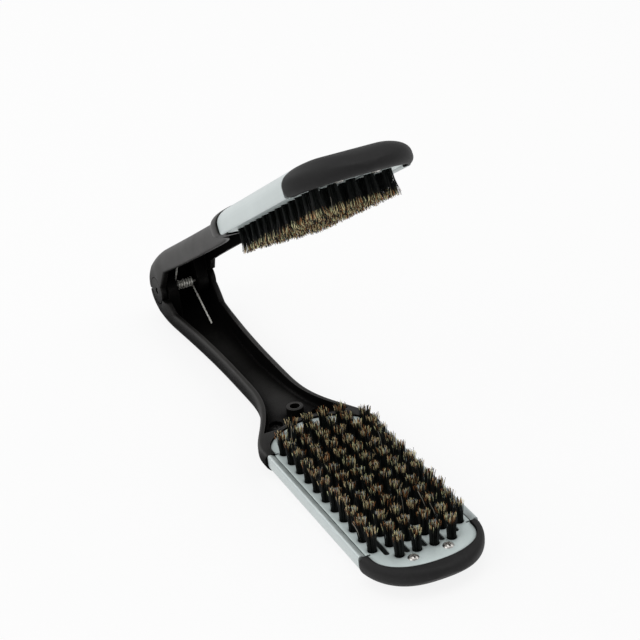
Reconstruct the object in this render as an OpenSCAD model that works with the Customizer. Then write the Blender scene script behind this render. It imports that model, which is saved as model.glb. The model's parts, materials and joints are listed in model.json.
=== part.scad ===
// Double straightening brush: two identical sprung arms on one hinge pin, each with a
// channel handle, a channel-section paddle, a vented plate of bristle tufts and a soft tip.
// Each arm is drawn lying on its back: hinge axis at the origin along Y, tip towards +X,
// bristles towards +Z. The second arm is the same set of mouldings turned over and swung
// open; only its plate and tufts differ, as they stand between the tufts of the first.

/* [Paddle] */
// Hinge axis to the near end of the bristle plate
hinge_to_plate = 117; // [112:1:130]
// Length of the bristle plate
plate_len = 103.4; // [98:0.2:120]
// Width of the bristle plate
plate_w = 38.6; // [38:0.2:44]
// Thickness of the bristle plate
plate_t = 1.5; // [1.2:0.1:2]
// Width of the rail beside the plate
rail_w = 2.6; // [2:0.1:3]
// Wall of the paddle shell
shell_wall = 1.6; // [1.2:0.1:2]
// How far the tip cap reaches past the plate
cap_past_plate = 5.6; // [4:0.2:8]
// How far the tip cap stands proud of the paddle shell
cap_proud = 0.5; // [0.3:0.1:1]
// How deep the cap's spigot goes into the paddle shell
spigot_len = 8; // [5:0.5:12]

/* [Handle] */
// Hinge axis to the back of an arm
arm_depth = 14.6; // [13.6:0.2:18]
// Hinge axis to the rim of an arm
rim_drop = 5.2; // [4.6:0.1:5.6]
// Half width at the hinge
hinge_half_w = 12; // [12:0.1:14]
// Half width at the waist
waist_half_w = 8.2; // [7.5:0.1:11]
// Hinge axis to the waist
waist_x = 76; // [66:1:82]
// How far the shoulder of the handle stands proud of the paddle shell
shoulder_proud = 0.8; // [0.4:0.1:1.2]
// Wall of the handle channel
handle_wall = 2.4; // [2:0.1:2.6]
// Length that the handle reaches past the hinge axis
heel_len = 9.8; // [9.4:0.1:12]
// Outside diameter of the screw boss
boss_d = 5.8; // [5:0.2:7]
// Bore of the screw boss
boss_bore = 3.3; // [2.6:0.1:4]

/* [Hinge] */
// Opening angle between the arms, at the stop
open_angle = 31; // [24:1:38]
// Diameter of the hinge pin
pin_d = 2.6; // [2:0.1:3]
// Running clearance round the pin, on the radius
pin_clear = 0.05; // [0.03:0.01:0.1]
// Radius of the outer ears
ear_r = 5.5; // [4.5:0.1:5.8]
// Clearance round an ear in its recess
ear_gap = 0.3; // [0.2:0.05:0.5]
// Diameter of the spring wire
wire_d = 0.75; // [0.6:0.05:0.8]
// Mean diameter of the spring coil
coil_d = 4.4; // [4.2:0.1:5]
// Full turns in the spring, before the part turn between its legs
coil_turns = 6; // [4:1:6]

/* [Bristles] */
// End of the plate to the middle of its first row of tufts
row_margin = 9.7; // [9:0.1:11]
// Side of the plate to the middle of its outer column of tufts
column_margin = 3.3; // [3:0.1:4.2]
// Full rows of tufts on the lower arm; the upper arm has one more
rows = 11; // [8:1:11]
// Columns of tufts on the lower arm; the upper arm has one fewer
columns = 6; // [6:1:6]
// Height of the bristles above the plate
bristle_h = 9; // [8:0.1:10]
// Diameter of the hole for one tuft
tuft_hole_d = 3.4; // [3.3:0.1:3.8]
// Width of a vent slot
vent_w = 2; // [1.6:0.1:2.2]

/* [Hidden] */
$fn = 48;
eps = 0.01;
// Gap left where two mouldings of one arm meet end to end
seam = 0.15;

// Heights, measured from the hinge axis
back_z = -arm_depth;
rim_z = -rim_drop;
plate_sink = 0.6;
plate_top = rim_z - plate_sink;
plate_under = plate_top - plate_t;
bed_t = 1;
bed_room = 0.1;
bed_under = plate_under - bed_t - bed_room;
stop_gap = 0.15;
stop_slope = tan(open_angle / 2);

// Spacing of the tufts along and across the plate
row_pitch = (plate_len - 2 * row_margin) / (rows + 1);
column_pitch = (plate_w - 2 * column_margin) / (columns - 1);

// Paddle lengths, measured from the hinge axis
plate_end = hinge_to_plate + plate_len;
plate_mid = hinge_to_plate + plate_len / 2;
plate_inset = 0.5;
shoulder_run = 15.5;
cap_run = 14.8;
shell_start = hinge_to_plate + shoulder_run;
cap_start = plate_end - cap_run;
cap_end = plate_end + cap_past_plate;
plate_gap = 0.2;
shell_half_w = plate_w / 2 + plate_gap + rail_w;
cap_half_w = shell_half_w + cap_proud;
plate_tip_len = 12.6;
plate_root_len = 12;
plate_tip_power = 2.25;
plate_root_power = 1.75;
cap_round_run = 17.5;
cap_round_len = cap_past_plate + cap_round_run;
cap_power = 2.05;
cap_rim_r = 3;
cap_rim_proud = 0.3;
cap_edge = 0.5;
cap_land = 2;
cap_toe_len = 18;
cap_toe_rise = 7.4;
spigot_gap = 0.15;
spigot_side = 2.4;
spigot_corner = 2.6;

// Cross-section of an arm: a flat back, superelliptic sides and a rounded rim
flat_share = 0.35;
side_power = 2.4;
side_top_z = rim_z - 3;
side_steps = 8;

// Handle: the flare runs from the waist to flare_end, just short of the shell
flare_end = shell_start - 4;
flare_power = 1.7;
hinge_blend_x = 6;
neck_end_x = 14;
heel_run = 14;

// Handle channel
pocket_floor_z = back_z + 2;
floor_z = back_z + 3.4;
deck_z = back_z + 5.6;
pocket_end_x = 12.5;
ramp_start_x = 60;
ramp_end_x = 92;
channel_end_x = hinge_to_plate - 2;
channel_round = 6;
heel_wall = 2.6;

// Screw boss and screw pockets at the end of the channel
boss_x = hinge_to_plate - 10.8;
boss_top_z = rim_z + 0.3;
pocket_x = hinge_to_plate - 8;
pocket_y = 8.6;
head_d = 4.2;
head_h = 0.8;
pocket_d = head_d + 0.4;
pocket_seat_z = deck_z - 1.4;
shank_d = 2.2;
shank_room = 0.15;

// Tongue of the shell, screwed into a slot of the handle
tongue_start = pocket_x - 4;
tongue_half_w = pocket_y + 2.4;
tongue_tip_half_w = 7.5;
tongue_t = 1.3;
tongue_top_z = back_z + shell_wall + tongue_t - 0.05;
tongue_gap = 0.15;
tongue_grip = 12;

// Plate screws
plate_screw_x = plate_end - 6.2;
plate_screw_y = column_pitch;
plate_head_d = 4.4;
plate_head_h = 0.9;
plate_screw_len = 6.5;

// Hinge stack, measured from the middle of the pin
lug_in = 4.5;
lug_room = 0.6;
lug_out = hinge_half_w - handle_wall - lug_room;
lug_r = 5;
tab_z = -2.3;
pin_len = 2 * hinge_half_w - 1;

// Spring
coil_pitch = wire_d + 0.5;
leg_angle = 29;
leg_lift = 0.05;
spring_rings = 8;
wire_sides = 6;

// Bristles: three strands a tuft, and the strands of the two arms mesh when closed
tuft_ring_r = 1.12;
strand_r = 0.42;
strand_tip_r = 0.34;
tip_splay = 0.2;
bed_edge = 2;
bed_gap = 0.3;
bed_z = plate_under;
tip_z = plate_top + bristle_h;

// Resting frame: the origin is the middle of the flat back under the lower paddle
rest_x = (shell_start + cap_start) / 2;

handle_colour = [0.25, 0.24, 0.24];
shell_colour = [0.76, 0.80, 0.79];
plate_colour = [0.80, 0.85, 0.84];
bristle_colour = [0.12, 0.10, 0.09];
cap_colour = [0.16, 0.16, 0.17];
steel_colour = [0.72, 0.72, 0.70];

// ---------- Functions ----------

function ease(t) = let (c = min(max(t, 0), 1)) c * c * (3 - 2 * c);
function super_arc(a, power) = [pow(sin(a), 2 / power), pow(cos(a), 2 / power)];

// Half width of an arm at x
function arm_half_w(x) =
    x <= waist_x
    ? hinge_half_w + (waist_half_w - hinge_half_w) * ease((x - hinge_blend_x) / (waist_x - hinge_blend_x))
      - (x < -4 ? 3 * (1 - sqrt(max(0, 1 - pow((-4 - x) / (heel_len - 3.8), 2)))) : 0)
    : waist_half_w + (shell_half_w + shoulder_proud - waist_half_w)
      * ease(pow(min((x - waist_x) / (flare_end - waist_x), 1), flare_power));

// Height of the back and of the rim of an arm at x
function arm_back_z(x) =
    x >= heel_run ? back_z
    : back_z + (arm_depth - 3) * (1 - sqrt(max(0, 1 - pow((heel_run - x) / (heel_run + heel_len), 2))));
function channel_floor_z(x) = max(pocket_floor_z, arm_back_z(x) + heel_wall);
function arm_rim_z(x) =
    x <= hinge_blend_x ? -stop_gap
    : x >= neck_end_x ? rim_z
    : -stop_gap + (rim_z + stop_gap) * (x - hinge_blend_x) / (neck_end_x - hinge_blend_x);

// Right half of a cross-section, from the flat back up the side and round the rim: [y, z]
function half_section(w, top_z, bottom_z, rim_r) =
    let (f = flat_share * w, s = max(side_top_z, bottom_z + 0.5), r = min(rim_r, top_z - s - 0.2))
    concat([[f, bottom_z]],
           [for (i = [1 : side_steps]) let (p = super_arc(90 * i / side_steps, side_power))
               [f + (w - f) * p[0], s - (s - bottom_z) * p[1]]],
           [[w, top_z - r], [w - 0.3 * r, top_z - 0.3 * r], [w - r, top_z]]);
function mirrored(points) = [for (i = [len(points) - 1 : -1 : 0]) [-points[i][0], points[i][1]]];
function section(w, top_z, bottom_z, rim_r) =
    let (half = half_section(w, top_z, bottom_z, rim_r)) concat(mirrored(half), half);

// End of a plate or cap in plan: a superelliptic nose from [x, half_w] round to [x, -half_w]
function nose(x, half_w, length, power, steps) =
    [for (i = [0 : 2 * steps]) let (a = 90 - 90 * i / steps, p = super_arc(abs(a), power))
        [x + length * p[1], half_w * p[0] * (a < 0 ? -1 : 1)]];
function plate_outline(gap) = let (
        full = plate_w / 2 + gap, ends = full - plate_inset,
        tip = nose(plate_end - plate_tip_len, ends, plate_tip_len + gap, plate_tip_power, 10),
        root = [for (p = nose(0, ends, plate_root_len + gap, plate_root_power, 10))
            [hinge_to_plate + plate_root_len - p[0], -p[1]]])
    concat([[cap_start, full], [cap_start, ends]], tip, [[cap_start, -ends], [cap_start, -full]],
           [[shell_start, -full], [shell_start, -ends]], root, [[shell_start, ends], [shell_start, full]]);

// ---------- General shapes ----------

// Solid through a list of cross-sections, each [x, points] with as many points
module loft(stations) {
    n = len(stations[0][1]);
    last = len(stations) - 1;
    points = [for (s = stations) for (p = s[1]) [s[0], p[0], p[1]]];
    sides = [for (i = [0 : last - 1]) for (j = [0 : n - 1])
        let (a = i * n + j, b = i * n + (j + 1) % n) each [[a, a + n, b + n], [a, b + n, b]]];
    ends = [[for (j = [0 : n - 1]) j], [for (j = [n - 1 : -1 : 0]) last * n + j]];
    polyhedron(points = points, faces = concat(sides, ends), convexity = 6);
}

// Extrudes a plan outline upwards, a side profile across the arm or a section along the arm
module plan_prism(from_z, to_z) {
    translate([0, 0, from_z]) linear_extrude(height = to_z - from_z) children();
}
module side_prism(from_y, to_y) {
    translate([0, to_y, 0]) rotate([90, 0, 0]) linear_extrude(height = to_y - from_y) children();
}
module long_prism(from_x, to_x) {
    translate([from_x, 0, 0]) rotate([90, 0, 90]) linear_extrude(height = to_x - from_x) children();
}
module cross_bar(radius, from_y, to_y) {
    translate([0, to_y, 0]) rotate([90, 0, 0]) cylinder(r = radius, h = to_y - from_y);
}
module box(from, to) {
    translate(from) cube(to - from);
}

// Places an arm drawn in its own frame: flat on its back, or turned over and swung open
module lower_arm() {
    translate([-rest_x, 0, arm_depth]) children();
}
module upper_arm() {
    translate([-rest_x, 0, arm_depth]) rotate([0, -open_angle, 0]) rotate([180, 0, 0]) children();
}

// ---------- Handle ----------

heel_angles = [6, 18, 30, 42, 54, 66];
handle_stations = concat(
    [for (a = heel_angles) heel_run - (heel_run + heel_len) * cos(a)],
    [hinge_blend_x, (hinge_blend_x + neck_end_x) / 2, neck_end_x],
    [for (i = [1 : 5]) neck_end_x + (waist_x - neck_end_x) * i / 5],
    [for (i = [1 : 9]) waist_x + (flare_end - waist_x) * i / 9],
    [shell_start - 0.6, shell_start]);

module handle_blank() {
    loft([for (x = handle_stations)
        [x, section(arm_half_w(x) - (x == shell_start ? 0.4 : 0), arm_rim_z(x), arm_back_z(x), 0.9)]]);
}

// Inside of the channel, as a plan outline
module channel_outline() {
    inner_w = arm_half_w(channel_end_x - channel_round) - handle_wall;
    side = concat(
        [for (i = [0 : 24]) let (x = -heel_len + heel_wall
            + (channel_end_x - channel_round + heel_len - heel_wall) * i / 24)
            [x, min(arm_half_w(x), hinge_half_w) - handle_wall + max(arm_half_w(x) - hinge_half_w, 0)]],
        [for (i = [1 : 6]) let (p = super_arc(15 * i, 4))
            [channel_end_x - channel_round + channel_round * p[0], inner_w * p[1]]]);
    polygon(concat(side, [for (i = [len(side) - 2 : -1 : 0]) [side[i][0], -side[i][1]]]));
}
pocket_xs = [for (i = [0 : 6]) -heel_len + heel_wall + (pocket_end_x + heel_len - heel_wall) * i / 6];
module channel() {
    intersection() {
        plan_prism(back_z, 5) channel_outline();
        side_prism(-40, 40) polygon(concat(
            [[-heel_len + heel_wall, 4]],
            [for (x = pocket_xs) [x, channel_floor_z(x)]],
            [[pocket_end_x, floor_z], [ramp_start_x, floor_z], [ramp_end_x, deck_z],
             [channel_end_x + 1, deck_z], [channel_end_x + 1, 4]]));
    }
}

// Everything above the open stop, and above the low tab on the side of the ear's recess
module stop_cut() {
    side_prism(-40, 40) polygon([[-20, -20 * stop_slope - stop_gap], [0, -stop_gap], [0, 6], [-20, 6]]);
    side_prism(-40, -lug_in) polygon([[0, tab_z], [neck_end_x + 1, tab_z], [neck_end_x + 1, 6], [0, 6]]);
}

module inner_lug() {
    side_prism(-hinge_half_w + handle_wall - 0.6, -lug_in)
        polygon(concat([[-lug_r, -lug_r * stop_slope - stop_gap], [0, -stop_gap], [lug_r, -stop_gap]],
                       [for (i = [6 : -1 : 0]) let (x = -lug_r + (2 * lug_r + 1.5) * i / 6)
                           [x, channel_floor_z(x) - 1]]));
    cross_bar(lug_r, -lug_out, -lug_in);
}

// Slot for the shell's tongue, or the tongue itself when the gap is zero
module tongue_outline(gap) {
    end_x = shell_start + tongue_grip;
    polygon([[tongue_start - gap, -tongue_tip_half_w - gap], [pocket_x + 2, -tongue_half_w - gap],
             [end_x, -tongue_half_w - gap], [end_x, tongue_half_w + gap],
             [pocket_x + 2, tongue_half_w + gap], [tongue_start - gap, tongue_tip_half_w + gap]]);
}

// Room under the plate for the bristle bed of either arm
module bed_space() {
    wide = column_y(0, columns - 1) + bed_edge + bed_gap;
    narrow = column_y(1, columns - 2) + bed_edge + bed_gap;
    full_rows = rows / 2 * row_pitch + bed_gap;
    all_rows = (rows + 1) / 2 * row_pitch + bed_edge + bed_gap;
    box([plate_mid - full_rows, -wide, bed_under], [plate_mid + full_rows, wide, plate_under + eps]);
    box([plate_mid - all_rows, -narrow, bed_under], [plate_mid + all_rows, narrow, plate_under + eps]);
}

module pocket_places() {
    for (side = [-1, 1]) translate([pocket_x, side * pocket_y, 0]) children();
}

module handle(bore_d) {
    difference() {
        union() {
            difference() {
                handle_blank();
                channel();
                stop_cut();
            }
            inner_lug();
            cross_bar(ear_r, hinge_half_w - handle_wall, hinge_half_w);
            translate([boss_x, 0, back_z + 2]) cylinder(d = boss_d, h = boss_top_z - back_z - 2);
        }
        cross_bar(ear_r + ear_gap, -hinge_half_w - 1, -lug_out);
        cross_bar(bore_d / 2, -hinge_half_w - 1, hinge_half_w + 1);
        translate([boss_x, 0, back_z + 3]) cylinder(d = boss_bore, h = arm_depth);
        plan_prism(plate_under, 0) polygon(plate_outline(plate_gap));
        bed_space();
        plan_prism(tongue_top_z - tongue_t - tongue_gap, tongue_top_z + 0.05) tongue_outline(tongue_gap);
        pocket_places() translate([0, 0, pocket_seat_z]) cylinder(d = pocket_d, h = 5);
        pocket_places() translate([0, 0, tongue_top_z - tongue_t]) cylinder(d = shank_d + 2 * shank_room, h = 6);
    }
}

// ---------- Paddle shell ----------

ledge_in = plate_w / 2 - 1.2;
module shell_section() {
    outer = section(shell_half_w, rim_z + 0.1, back_z, 1.1);
    inner_w = shell_half_w - shell_wall;
    inner_f = flat_share * shell_half_w;
    floor_in = back_z + shell_wall;
    half = concat(
        [[inner_f, floor_in]],
        [for (i = [1 : side_steps]) let (p = super_arc(90 * i / side_steps, side_power))
            [inner_f + (inner_w - inner_f) * p[0],
             side_top_z - 1.6 - (side_top_z - 1.6 - floor_in) * p[1]]],
        [[ledge_in, bed_under], [ledge_in, plate_under],
         [plate_w / 2 + plate_gap, plate_under], [plate_w / 2 + plate_gap, 2]]);
    difference() {
        polygon(outer);
        polygon(concat(mirrored(half), half));
    }
}
module shell() {
    difference() {
        union() {
            long_prism(shell_start + seam, cap_start) shell_section();
            plan_prism(tongue_top_z - tongue_t, tongue_top_z) tongue_outline(0);
        }
        pocket_places() translate([0, 0, back_z]) cylinder(d = shank_d, h = arm_depth);
    }
}

// ---------- Bristle plate and tufts ----------

// Arm 0 is the lower one, with short rows at both ends; arm 1 is the upper one, with its
// tufts half a pitch aside both ways. Rows run from arm - 1 to rows.
function column_y(arm, c) = (c - (columns - 1 - arm) / 2) * column_pitch;
function row_x(arm, r) = plate_mid + (r - (rows - 1 + arm) / 2) * row_pitch;
function has_tuft(arm, r, c) = c >= 0 && c < columns - arm && r >= arm - 1 && r <= rows
    && !(arm == 0 && (r < 0 || r >= rows) && (c < 1 || c > columns - 2));
function tufts(arm) = [for (r = [arm - 1 : rows]) for (c = [0 : columns - 1 - arm])
    if (has_tuft(arm, r, c)) [r, c]];

module plate_screw_places() {
    for (side = [-1, 1]) translate([plate_screw_x, side * plate_screw_y, 0]) children();
}

module vents(arm) {
    for (k = [1 : columns - 1 - arm]) {
        y = column_y(arm, k - 0.5);
        outer = arm == 0 && (k == 1 || k == columns - 1);
        half_len = (rows + (outer ? 0.14 : 0.74)) / 2 * row_pitch;
        translate([plate_mid - half_len, y - vent_w / 2]) square([2 * half_len, vent_w]);
        for (end = [-1, 1]) translate([plate_mid + end * half_len, y]) circle(d = vent_w);
    }
}

module plate(arm) {
    plan_prism(plate_under, plate_top) difference() {
        polygon(plate_outline(0));
        for (t = tufts(arm)) translate([row_x(arm, t[0]), column_y(arm, t[1])]) circle(d = tuft_hole_d);
        vents(arm);
        plate_screw_places() circle(d = shank_d + 2 * shank_room);
    }
}

// Corner lines of the bristle bed: half way between tufts, and bed_edge past the outer ones
function line_x(arm, i) = i == 0 ? row_x(arm, arm - 1) - bed_edge
    : i == rows + 2 - arm ? row_x(arm, rows) + bed_edge : row_x(arm, i + arm - 1.5);
function line_y(arm, k) = k == 0 ? column_y(arm, 0) - bed_edge
    : k == columns - arm ? column_y(arm, k - 1) + bed_edge : column_y(arm, k - 0.5);
function strand_points(centre, a, ring, r, z) =
    let (c = centre + ring * [cos(a), sin(a)])
    [for (b = [180, 300, 60]) [c[0] + r * cos(a + b), c[1] + r * sin(a + b), z]];

// One closed mesh: a thin bed with three three-sided strands rising from each tuft's cell
module bristles(arm) {
    tufts = tufts(arm);
    corner_columns = columns - arm + 1;
    corner_count = (rows + 3 - arm) * corner_columns;
    function corner(i, k, level) = level * corner_count + i * corner_columns + k;
    corners = [for (z = [bed_z, bed_z - bed_t]) for (i = [0 : rows + 2 - arm]) for (k = [0 : columns - arm])
        [line_x(arm, i), line_y(arm, k), z]];
    strands = [for (t = tufts) for (s = [0 : 2]) for (top = [0, 1])
        each strand_points([row_x(arm, t[0]), column_y(arm, t[1])], 90 + 120 * s,
                           tuft_ring_r + top * tip_splay, top ? strand_tip_r : strand_r,
                           top ? tip_z : bed_z)];
    first = 2 * corner_count;
    cells = [for (n = [0 : len(tufts) - 1])
        let (i = tufts[n][0] + 1 - arm, k = tufts[n][1], base = first + 18 * n,
             a = corner(i + 1, k + 1, 0), b = corner(i, k + 1, 0),
             c = corner(i, k, 0), d = corner(i + 1, k, 0),
             s = [for (m = [0 : 2]) base + 6 * m], cw = [for (m = [0 : 2]) base + 6 * m + 1],
             ccw = [for (m = [0 : 2]) base + 6 * m + 2])
        each concat(
            // Between the three strands
            [[s[0], s[2], s[1]]],
            [for (m = [0 : 2]) let (q = (m + 1) % 3) each
                [[s[m], s[q], cw[q]], [s[m], cw[q], ccw[m]]]],
            // From the strands out to the corners of the cell
            [[a, cw[0], ccw[0]], [a, ccw[0], b], [b, ccw[0], cw[1]], [b, cw[1], ccw[1]],
             [b, ccw[1], c], [c, ccw[1], cw[2]], [c, cw[2], d], [d, cw[2], ccw[2]],
             [d, ccw[2], a], [a, ccw[2], cw[0]]],
            // The strands
            [for (m = [0 : 2]) for (e = [0 : 2]) let (p = base + 6 * m + e, q = base + 6 * m + (e + 1) % 3)
                each [[p, p + 3, q + 3], [p, q + 3, q]]],
            [for (m = [0 : 2]) [base + 6 * m + 5, base + 6 * m + 4, base + 6 * m + 3]],
            // The underside and the outer edges of the bed
            [[corner(i, k, 1), corner(i + 1, k + 1, 1), corner(i, k + 1, 1)],
             [corner(i, k, 1), corner(i + 1, k, 1), corner(i + 1, k + 1, 1)]],
            bed_side(has_tuft(arm, tufts[n][0] + 1, k), d, a, corner_count),
            bed_side(has_tuft(arm, tufts[n][0], k + 1), a, b, corner_count),
            bed_side(has_tuft(arm, tufts[n][0] - 1, k), b, c, corner_count),
            bed_side(has_tuft(arm, tufts[n][0], k - 1), c, d, corner_count))];
    polyhedron(points = concat(corners, strands), faces = cells, convexity = 10);
}
function bed_side(shared, p, q, drop) = shared ? [] : [[p, q, q + drop], [p, q + drop, p + drop]];

// ---------- Tip cap ----------

function cap_half_w_at(x) = let (t = max(0, (x - (cap_end - cap_round_len)) / cap_round_len))
    cap_half_w * pow(1 - pow(t, cap_power), 1 / cap_power);
function cap_back_at(x) = let (t = max(0, (x - (cap_end - cap_toe_len)) / cap_toe_len))
    back_z + cap_toe_rise * (1 - sqrt(1 - t * t));
cap_stations = concat(
    [cap_start + seam, cap_start + cap_land / 2],
    [for (a = [0, 14, 24, 34, 44, 54, 63, 71, 78, 83, 87])
        let (x = cap_end - cap_round_len * (1 - sin(a))) if (x > cap_start + cap_land) x]);

module cap() {
    spigot_half_w = shell_half_w - shell_wall - spigot_side;
    difference() {
        union() {
            loft([for (x = cap_stations) let (edge = x == cap_stations[0] ? cap_edge : 0)
                [x, section(cap_half_w_at(x) - edge, rim_z + cap_rim_proud, cap_back_at(x), cap_rim_r)]]);
            long_prism(cap_start - spigot_len, cap_start + cap_land) polygon([
                [-spigot_half_w, bed_under - spigot_gap], [spigot_half_w, bed_under - spigot_gap],
                [spigot_half_w, back_z + shell_wall + spigot_corner],
                [flat_share * shell_half_w, back_z + shell_wall],
                [-flat_share * shell_half_w, back_z + shell_wall],
                [-spigot_half_w, back_z + shell_wall + spigot_corner]]);
        }
        plan_prism(plate_under, 0) polygon(plate_outline(plate_gap));
        bed_space();
        plate_screw_places() translate([0, 0, plate_top - plate_screw_len])
            cylinder(d = shank_d, h = arm_depth);
    }
}

// ---------- Fasteners, pin and spring ----------

// Round-headed screw standing on z = 0, shank downwards, with a cross recess
module screw(d, h, length) {
    dome_r = (pow(d / 2, 2) + pow(h, 2)) / (2 * h);
    difference() {
        intersection() {
            translate([0, 0, h - dome_r]) sphere(r = dome_r, $fn = 64);
            cylinder(d = d, h = h);
        }
        for (turn = [0, 90]) rotate(turn) translate([-d * 0.28, -d * 0.06, h * 0.45]) cube([d * 0.56, d * 0.12, h]);
    }
    translate([0, 0, -length]) cylinder(d = shank_d, h = length);
}
module plate_screws() {
    plate_screw_places() translate([0, 0, plate_top]) screw(plate_head_d, plate_head_h, plate_screw_len);
}
module handle_screws() {
    pocket_places() translate([0, 0, pocket_seat_z])
        screw(head_d, head_h, pocket_seat_z - tongue_top_z + tongue_t);
}

// The wire runs up the lower leg, round the coil and out along the upper leg
leg_start_angle = 270 - leg_angle;
leg_end_angle = 90 + leg_angle + open_angle;
coil_sweep = leg_start_angle - leg_end_angle + 360 * coil_turns;
coil_rise = coil_sweep / 360 * coil_pitch;
coil_steps = ceil(coil_sweep / 360 * spring_rings);
leg_len = (-floor_z - wire_d / 2 - leg_lift - coil_d / 2 * cos(leg_angle)) / sin(leg_angle);
function coil_point(k) = let (a = leg_start_angle - coil_sweep * k)
    [coil_d / 2 * cos(a), coil_rise * (0.5 - k), coil_d / 2 * sin(a)];
wire_path = concat(
    [for (u = [1, 0.5]) coil_point(0) + u * leg_len * [cos(leg_angle), 0, -sin(leg_angle)]],
    [for (k = [0 : coil_steps]) coil_point(k / coil_steps)],
    [for (u = [0.5, 1]) coil_point(1)
        + u * leg_len * [cos(leg_angle + open_angle), 0, sin(leg_angle + open_angle)]]);
function unit(v) = v / norm(v);
function tangent(i) = unit(wire_path[min(i + 1, len(wire_path) - 1)] - wire_path[max(i - 1, 0)]);
function ring(i) = let (t = tangent(i), v = unit(cross(t, [0, 1, 0])), u = cross(v, t))
    [for (s = [0 : wire_sides - 1]) let (a = 360 * s / wire_sides)
        wire_path[i] + wire_d / 2 * (cos(a) * u + sin(a) * v)];
coil_gap = min([for (i = [2 : len(wire_path) - 3]) for (j = [i + 4 : 1 : len(wire_path) - 3])
    norm(wire_path[i] - wire_path[j])]) - wire_d;
echo(least_gap_between_turns = coil_gap);
echo(strands_in_all = 3 * (len(tufts(0)) + len(tufts(1))));

module wire() {
    last = len(wire_path) - 1;
    sides = [for (i = [0 : last - 1]) for (s = [0 : wire_sides - 1])
        let (a = i * wire_sides + s, b = i * wire_sides + (s + 1) % wire_sides)
        each [[a, b, b + wire_sides], [a, b + wire_sides, a + wire_sides]]];
    ends = [[for (s = [wire_sides - 1 : -1 : 0]) s], [for (s = [0 : wire_sides - 1]) last * wire_sides + s]];
    polyhedron(points = [for (i = [0 : last]) each ring(i)], faces = concat(sides, ends), convexity = 8);
}

// ---------- Nodes ----------

module lower_handle() { color(handle_colour) lower_arm() handle(pin_d); }
module lower_shell() { color(shell_colour) lower_arm() shell(); }
module lower_plate() { color(plate_colour) lower_arm() plate(0); }
module lower_bristles() { color(bristle_colour) lower_arm() bristles(0); }
module lower_cap() { color(cap_colour) lower_arm() cap(); }
module lower_plate_screws() { color(steel_colour) lower_arm() plate_screws(); }
module lower_handle_screws() { color(steel_colour) lower_arm() handle_screws(); }
module upper_handle() { color(handle_colour) upper_arm() handle(pin_d + 2 * pin_clear); }
module upper_shell() { color(shell_colour) upper_arm() shell(); }
module upper_plate() { color(plate_colour) upper_arm() plate(1); }
module upper_bristles() { color(bristle_colour) upper_arm() bristles(1); }
module upper_cap() { color(cap_colour) upper_arm() cap(); }
module upper_plate_screws() { color(steel_colour) upper_arm() plate_screws(); }
module upper_handle_screws() { color(steel_colour) upper_arm() handle_screws(); }
module hinge_pin() { color(steel_colour) lower_arm() cross_bar(pin_d / 2, -pin_len / 2, pin_len / 2); }
module torsion_spring() { color(steel_colour) lower_arm() wire(); }

lower_handle();
lower_shell();
lower_plate();
lower_bristles();
lower_cap();
lower_plate_screws();
lower_handle_screws();
upper_handle();
upper_shell();
upper_plate();
upper_bristles();
upper_cap();
upper_plate_screws();
upper_handle_screws();
hinge_pin();
torsion_spring();
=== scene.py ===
"""Looks of a double straightening brush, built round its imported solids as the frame.

Two like arms share one sprung hinge. Each has a channel handle, a channel-section paddle, a
vented plate of bristle tufts and a soft tip cap. Shapes are drawn in an arm's own frame, in
millimetres: hinge axis at the origin along Y, tip towards +X, bristles towards +Z.
"""

import json
import math

import bmesh
import bpy
from bpy.props import FloatProperty, FloatVectorProperty, IntProperty, PointerProperty
from bpy.types import NodeSocket, Operator, Panel, PropertyGroup
from mathutils import Matrix, Quaternion, Vector


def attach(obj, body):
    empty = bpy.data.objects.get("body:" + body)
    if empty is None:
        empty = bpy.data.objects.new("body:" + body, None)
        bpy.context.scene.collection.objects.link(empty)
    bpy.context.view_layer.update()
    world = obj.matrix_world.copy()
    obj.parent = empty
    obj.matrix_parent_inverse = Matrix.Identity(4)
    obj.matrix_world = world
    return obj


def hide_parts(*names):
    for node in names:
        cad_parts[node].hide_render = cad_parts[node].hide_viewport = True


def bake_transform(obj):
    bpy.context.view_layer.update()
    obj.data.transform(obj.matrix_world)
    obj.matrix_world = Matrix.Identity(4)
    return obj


bl_info = {
    "name": "Double straightening brush",
    "version": (1, 0, 0),
    "blender": (4, 5, 0),
    "location": "View3D > Sidebar > Brush",
    "description": "Builds the pieces and finishes of a double straightening brush",
    "category": "Add Mesh",
}

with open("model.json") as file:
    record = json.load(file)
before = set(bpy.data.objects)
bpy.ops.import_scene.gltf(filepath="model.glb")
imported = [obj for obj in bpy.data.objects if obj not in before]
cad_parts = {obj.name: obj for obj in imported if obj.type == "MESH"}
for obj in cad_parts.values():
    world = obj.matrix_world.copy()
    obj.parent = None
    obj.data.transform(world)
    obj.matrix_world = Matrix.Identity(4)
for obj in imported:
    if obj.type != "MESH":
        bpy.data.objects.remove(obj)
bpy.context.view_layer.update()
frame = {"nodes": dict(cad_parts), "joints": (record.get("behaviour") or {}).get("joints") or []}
OPEN_ANGLE = frame["joints"][0]["range_deg"][1]
MM = 0.001

# ---------- The arm, in millimetres ----------

HINGE_TO_PLATE = 117.0
PLATE_LEN = 103.4
PLATE_W = 38.6
PLATE_T = 1.5
RAIL_W = 2.6
ARM_DEPTH = 14.6
RIM_DROP = 5.2
HINGE_HALF_W = 12.0
PLATE_GAP = 0.2
SEAM = 0.3

BACK_Z = -ARM_DEPTH
RIM_Z = -RIM_DROP
PLATE_TOP = RIM_Z - 0.6
PLATE_UNDER = PLATE_TOP - PLATE_T
BED_UNDER = PLATE_UNDER - 1.1
PLATE_END = HINGE_TO_PLATE + PLATE_LEN
PLATE_MID = HINGE_TO_PLATE + PLATE_LEN / 2
POCKET_HALF_W = PLATE_W / 2 + PLATE_GAP
SHELL_START = HINGE_TO_PLATE + 15.5
SHELL_HALF_W = POCKET_HALF_W + RAIL_W
CAP_START = PLATE_END - 14.8
CAP_END = PLATE_END + 5.6
REST_X = (SHELL_START + CAP_START) / 2

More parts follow.
